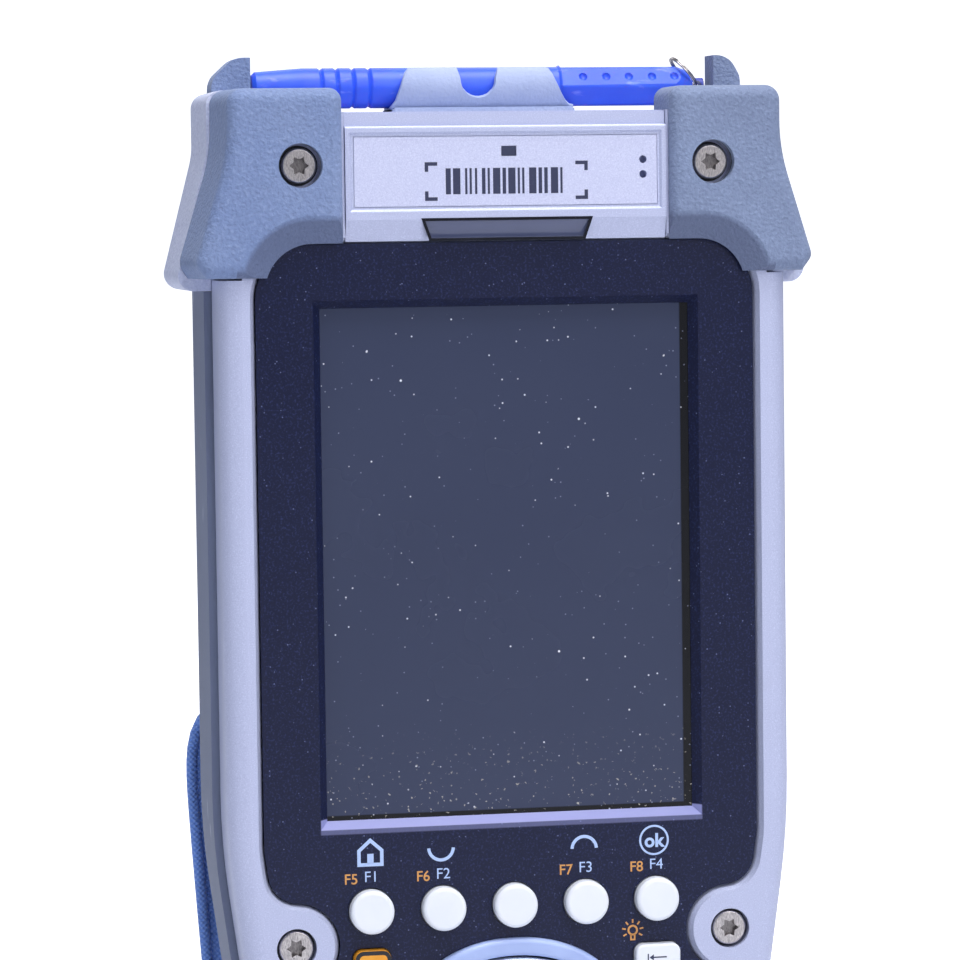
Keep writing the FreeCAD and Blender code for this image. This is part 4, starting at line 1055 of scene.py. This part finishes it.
def fill_pad(data, pressure=4.0, frames=20, most=0.003):
    """Blow the pad up as cloth, and keep each point within a small distance of its start."""
    start = [vertex.co.copy() for vertex in data.vertices]
    item = add_object("pad_fill", data)
    cloth = item.modifiers.new("cloth", "CLOTH").settings
    cloth.quality = 6
    cloth.mass = 0.3
    cloth.tension_stiffness = 25
    cloth.compression_stiffness = 25
    cloth.bending_stiffness = 1.5
    cloth.use_pressure = True
    cloth.uniform_pressure_force = pressure
    cloth.effector_weights.gravity = 0
    for step in range(1, frames + 1):
        scene.frame_set(step)
    moved = item.evaluated_get(bpy.context.evaluated_depsgraph_get()).data
    drift = sum((vertex.co - old for vertex, old in zip(moved.vertices, start)), Vector()) / len(start)
    places = []
    for vertex, old in zip(moved.vertices, start):
        shift = vertex.co - drift - old
        if shift.length > most:
            shift *= most / shift.length
        places.append(old + shift)
    item.modifiers.clear()
    for vertex, spot in zip(data.vertices, places):
        vertex.co = spot
    bpy.data.objects.remove(item)
    scene.frame_set(1)


def shape_pad(data):
    """Subdivide, press the pad flat under the strap and sink its sewn channel."""
    item = add_object("pad_detail", data)
    item.modifiers.new("finer", "SUBSURF").levels = 2
    finer = bpy.data.meshes.new_from_object(item.evaluated_get(bpy.context.evaluated_depsgraph_get()))
    bpy.data.objects.remove(item)
    for vertex in finer.vertices:
        x, y, z = vertex.co / MM
        z -= PAD_MIDDLE
        wide = PAD_HALF_WIDE * (1 + PAD_FLARE * z / PAD_HALF_TALL)
        share = ((abs(x) / wide) ** PAD_POWER
                 + (abs(z) / PAD_HALF_TALL) ** PAD_POWER) ** (1 / PAD_POWER)
        middle = pad_middle(x, z)
        rise = y - middle
        from_channel = abs(share - CHANNEL)
        if from_channel < CHANNEL_HALF:
            rise *= 1 - 0.45 * (1 - from_channel / CHANNEL_HALF)
        limit = PAD_BACK - 0.15 - 1.5 * (z / PAD_HALF_TALL) ** 2 - middle
        if rise > limit:
            rise = limit + (rise - limit) * (0.0 if abs(x) < STRAP_HALF + 0.5 else 0.35)
        vertex.co.y = (middle + rise) * MM
    return finer


def make_pad():
    """The stuffed hand pad and the bound edge round it."""
    data = make_pad_mesh()
    fill_pad(data)
    finer = shape_pad(data)
    bpy.data.meshes.remove(data)
    pad = place_piece(finer, "hand_pad", "casing", "strap_blue", "strap_blue", ["strap_pad"], 60)
    mesh = bmesh.new()
    rim = [(x, pad_middle(x, z), PAD_MIDDLE + z) for x, z in pad_outline(0.99, 120)]
    tube(mesh, rim, 0.9, 8)
    finish_piece(mesh, "pad_binding", "casing", "strap_blue", "strap_blue", (), 60)


def make_stitches(path):
    """A row of stitches up each side of the webbing and four rows across it."""
    mesh = bmesh.new()
    for side in (-1, 1):
        x = side * (STRAP_HALF - 2.0)
        run = []
        for before, after in zip(path, path[1:]):
            count = max(1, int((after - before).length / 0.35))
            run += [before + (after - before) * step / count for step in range(count)]
        stitch_row(mesh, [(x, spot.x + WEB_THICK / 2 + 0.05, spot.y) for spot in run
                          if 24 < spot.y < 74])
    for z in (25.5, 31.0, 79.0, 84.0):
        nearest = min((spot for spot in path if spot.x > 30), key=lambda spot: abs(spot.y - z))
        tail_depth = TAIL_FACE - TAIL_SLOPE * (z - TAIL_LOW)
        depth = tail_depth if z > TAIL_LOW else nearest.x + WEB_THICK / 2
        stitch_row(mesh, [(x / 4, depth + 0.02, z) for x in range(-64, 65)])
    finish_piece(mesh, "strap_stitching", "casing", "stitching", "strap_web", (), 60)


webbing_path = make_webbing()
make_pad()
make_stitches(webbing_path)

# -------------------- camera, light and floor
AIM = Vector((-4.64, -15.0, 126.84)) * MM
AZIMUTH = math.radians(-11.2)
ELEVATION = math.radians(3.9)
ROLL = math.radians(0.74)
DISTANCE = 0.622
LENS = 150.0
FLOOR_GLOW, WORLD_GLOW = 0.8, 0.33
OBJECT_MIDDLE = Vector((0, 0, 0.12))


def add_camera():
    """A long lens, a little left of the front and above it."""
    away = Vector((math.sin(AZIMUTH) * math.cos(ELEVATION), -math.cos(AZIMUTH) * math.cos(ELEVATION),
                   math.sin(ELEVATION)))
    data = bpy.data.cameras.new("camera")
    data.lens = LENS
    data.sensor_width = 36.0
    data.clip_start = 0.01
    camera = add_object("camera", data)
    turn = away.to_track_quat("Z", "Y").to_matrix().to_4x4() @ Matrix.Rotation(-ROLL, 4, "Z")
    camera.matrix_world = Matrix.Translation(AIM + away * DISTANCE) @ turn
    scene.camera = camera


def add_area(name, place, size, power, colour=(1, 1, 1)):
    """A square soft light that faces the middle of the object."""
    data = bpy.data.lights.new(name, "AREA")
    data.size = size
    data.energy = power
    data.color = colour
    place = Vector(place)
    turn = (place - OBJECT_MIDDLE).to_track_quat("Z", "Y").to_matrix().to_4x4()
    add_object(name, data).matrix_world = Matrix.Translation(place) @ turn


def add_stage():
    """A pale sweep: a floor that curves up into a backdrop, lit evenly for the camera."""
    mesh = bmesh.new()
    behind, radius = 1.6, 0.5
    profile = [(-2.0, 0.0), (behind, 0.0)]
    for step in range(1, 13):
        angle = step * math.pi / 24
        profile.append((behind + radius * math.sin(angle), radius - radius * math.cos(angle)))
    profile.append((behind + radius, 3.0))
    rows = [[mesh.verts.new((x, *point)) for point in profile] for x in (-3.0, 3.0)]
    for index in range(len(profile) - 1):
        mesh.faces.new((rows[0][index], rows[1][index], rows[1][index + 1], rows[0][index + 1]))
    data = bpy.data.meshes.new("floor")
    mesh.to_mesh(data)
    data.shade_smooth()
    floor = add_object("floor", data)
    made = Surface("floor", srgb(225, 227, 232), 0.9, Emission_Color=(1, 1, 1, 1))
    made.tint(made.noise(0.4), srgb(230, 232, 236), 0.5)
    seen = made.node("ShaderNodeLightPath").outputs["Is Camera Ray"]
    made.link(made.ramp(seen, 0, 1, 0.0, FLOOR_GLOW), made.shader.inputs["Emission Strength"])
    made.done()
    data.materials.append(materials["floor"])


def add_world():
    world = bpy.data.worlds.new("studio")
    world.use_nodes = True
    back = world.node_tree.nodes["Background"]
    back.inputs["Color"].default_value = (0.84, 0.89, 1.0, 1.0)
    back.inputs["Strength"].default_value = WORLD_GLOW
    scene.world = world


add_camera()
add_world()
add_stage()
add_area("key_light", (0.45, -0.95, 0.75), 0.8, 6.6, (1.0, 0.98, 0.97))
add_area("top_light", (0.05, -0.22, 1.0), 0.55, 8.5)
add_area("fill_light", (-0.9, -0.6, 0.3), 0.7, 0.9, (0.9, 0.94, 1.0))
add_area("back_light", (0.2, 0.9, 0.8), 0.9, 4)
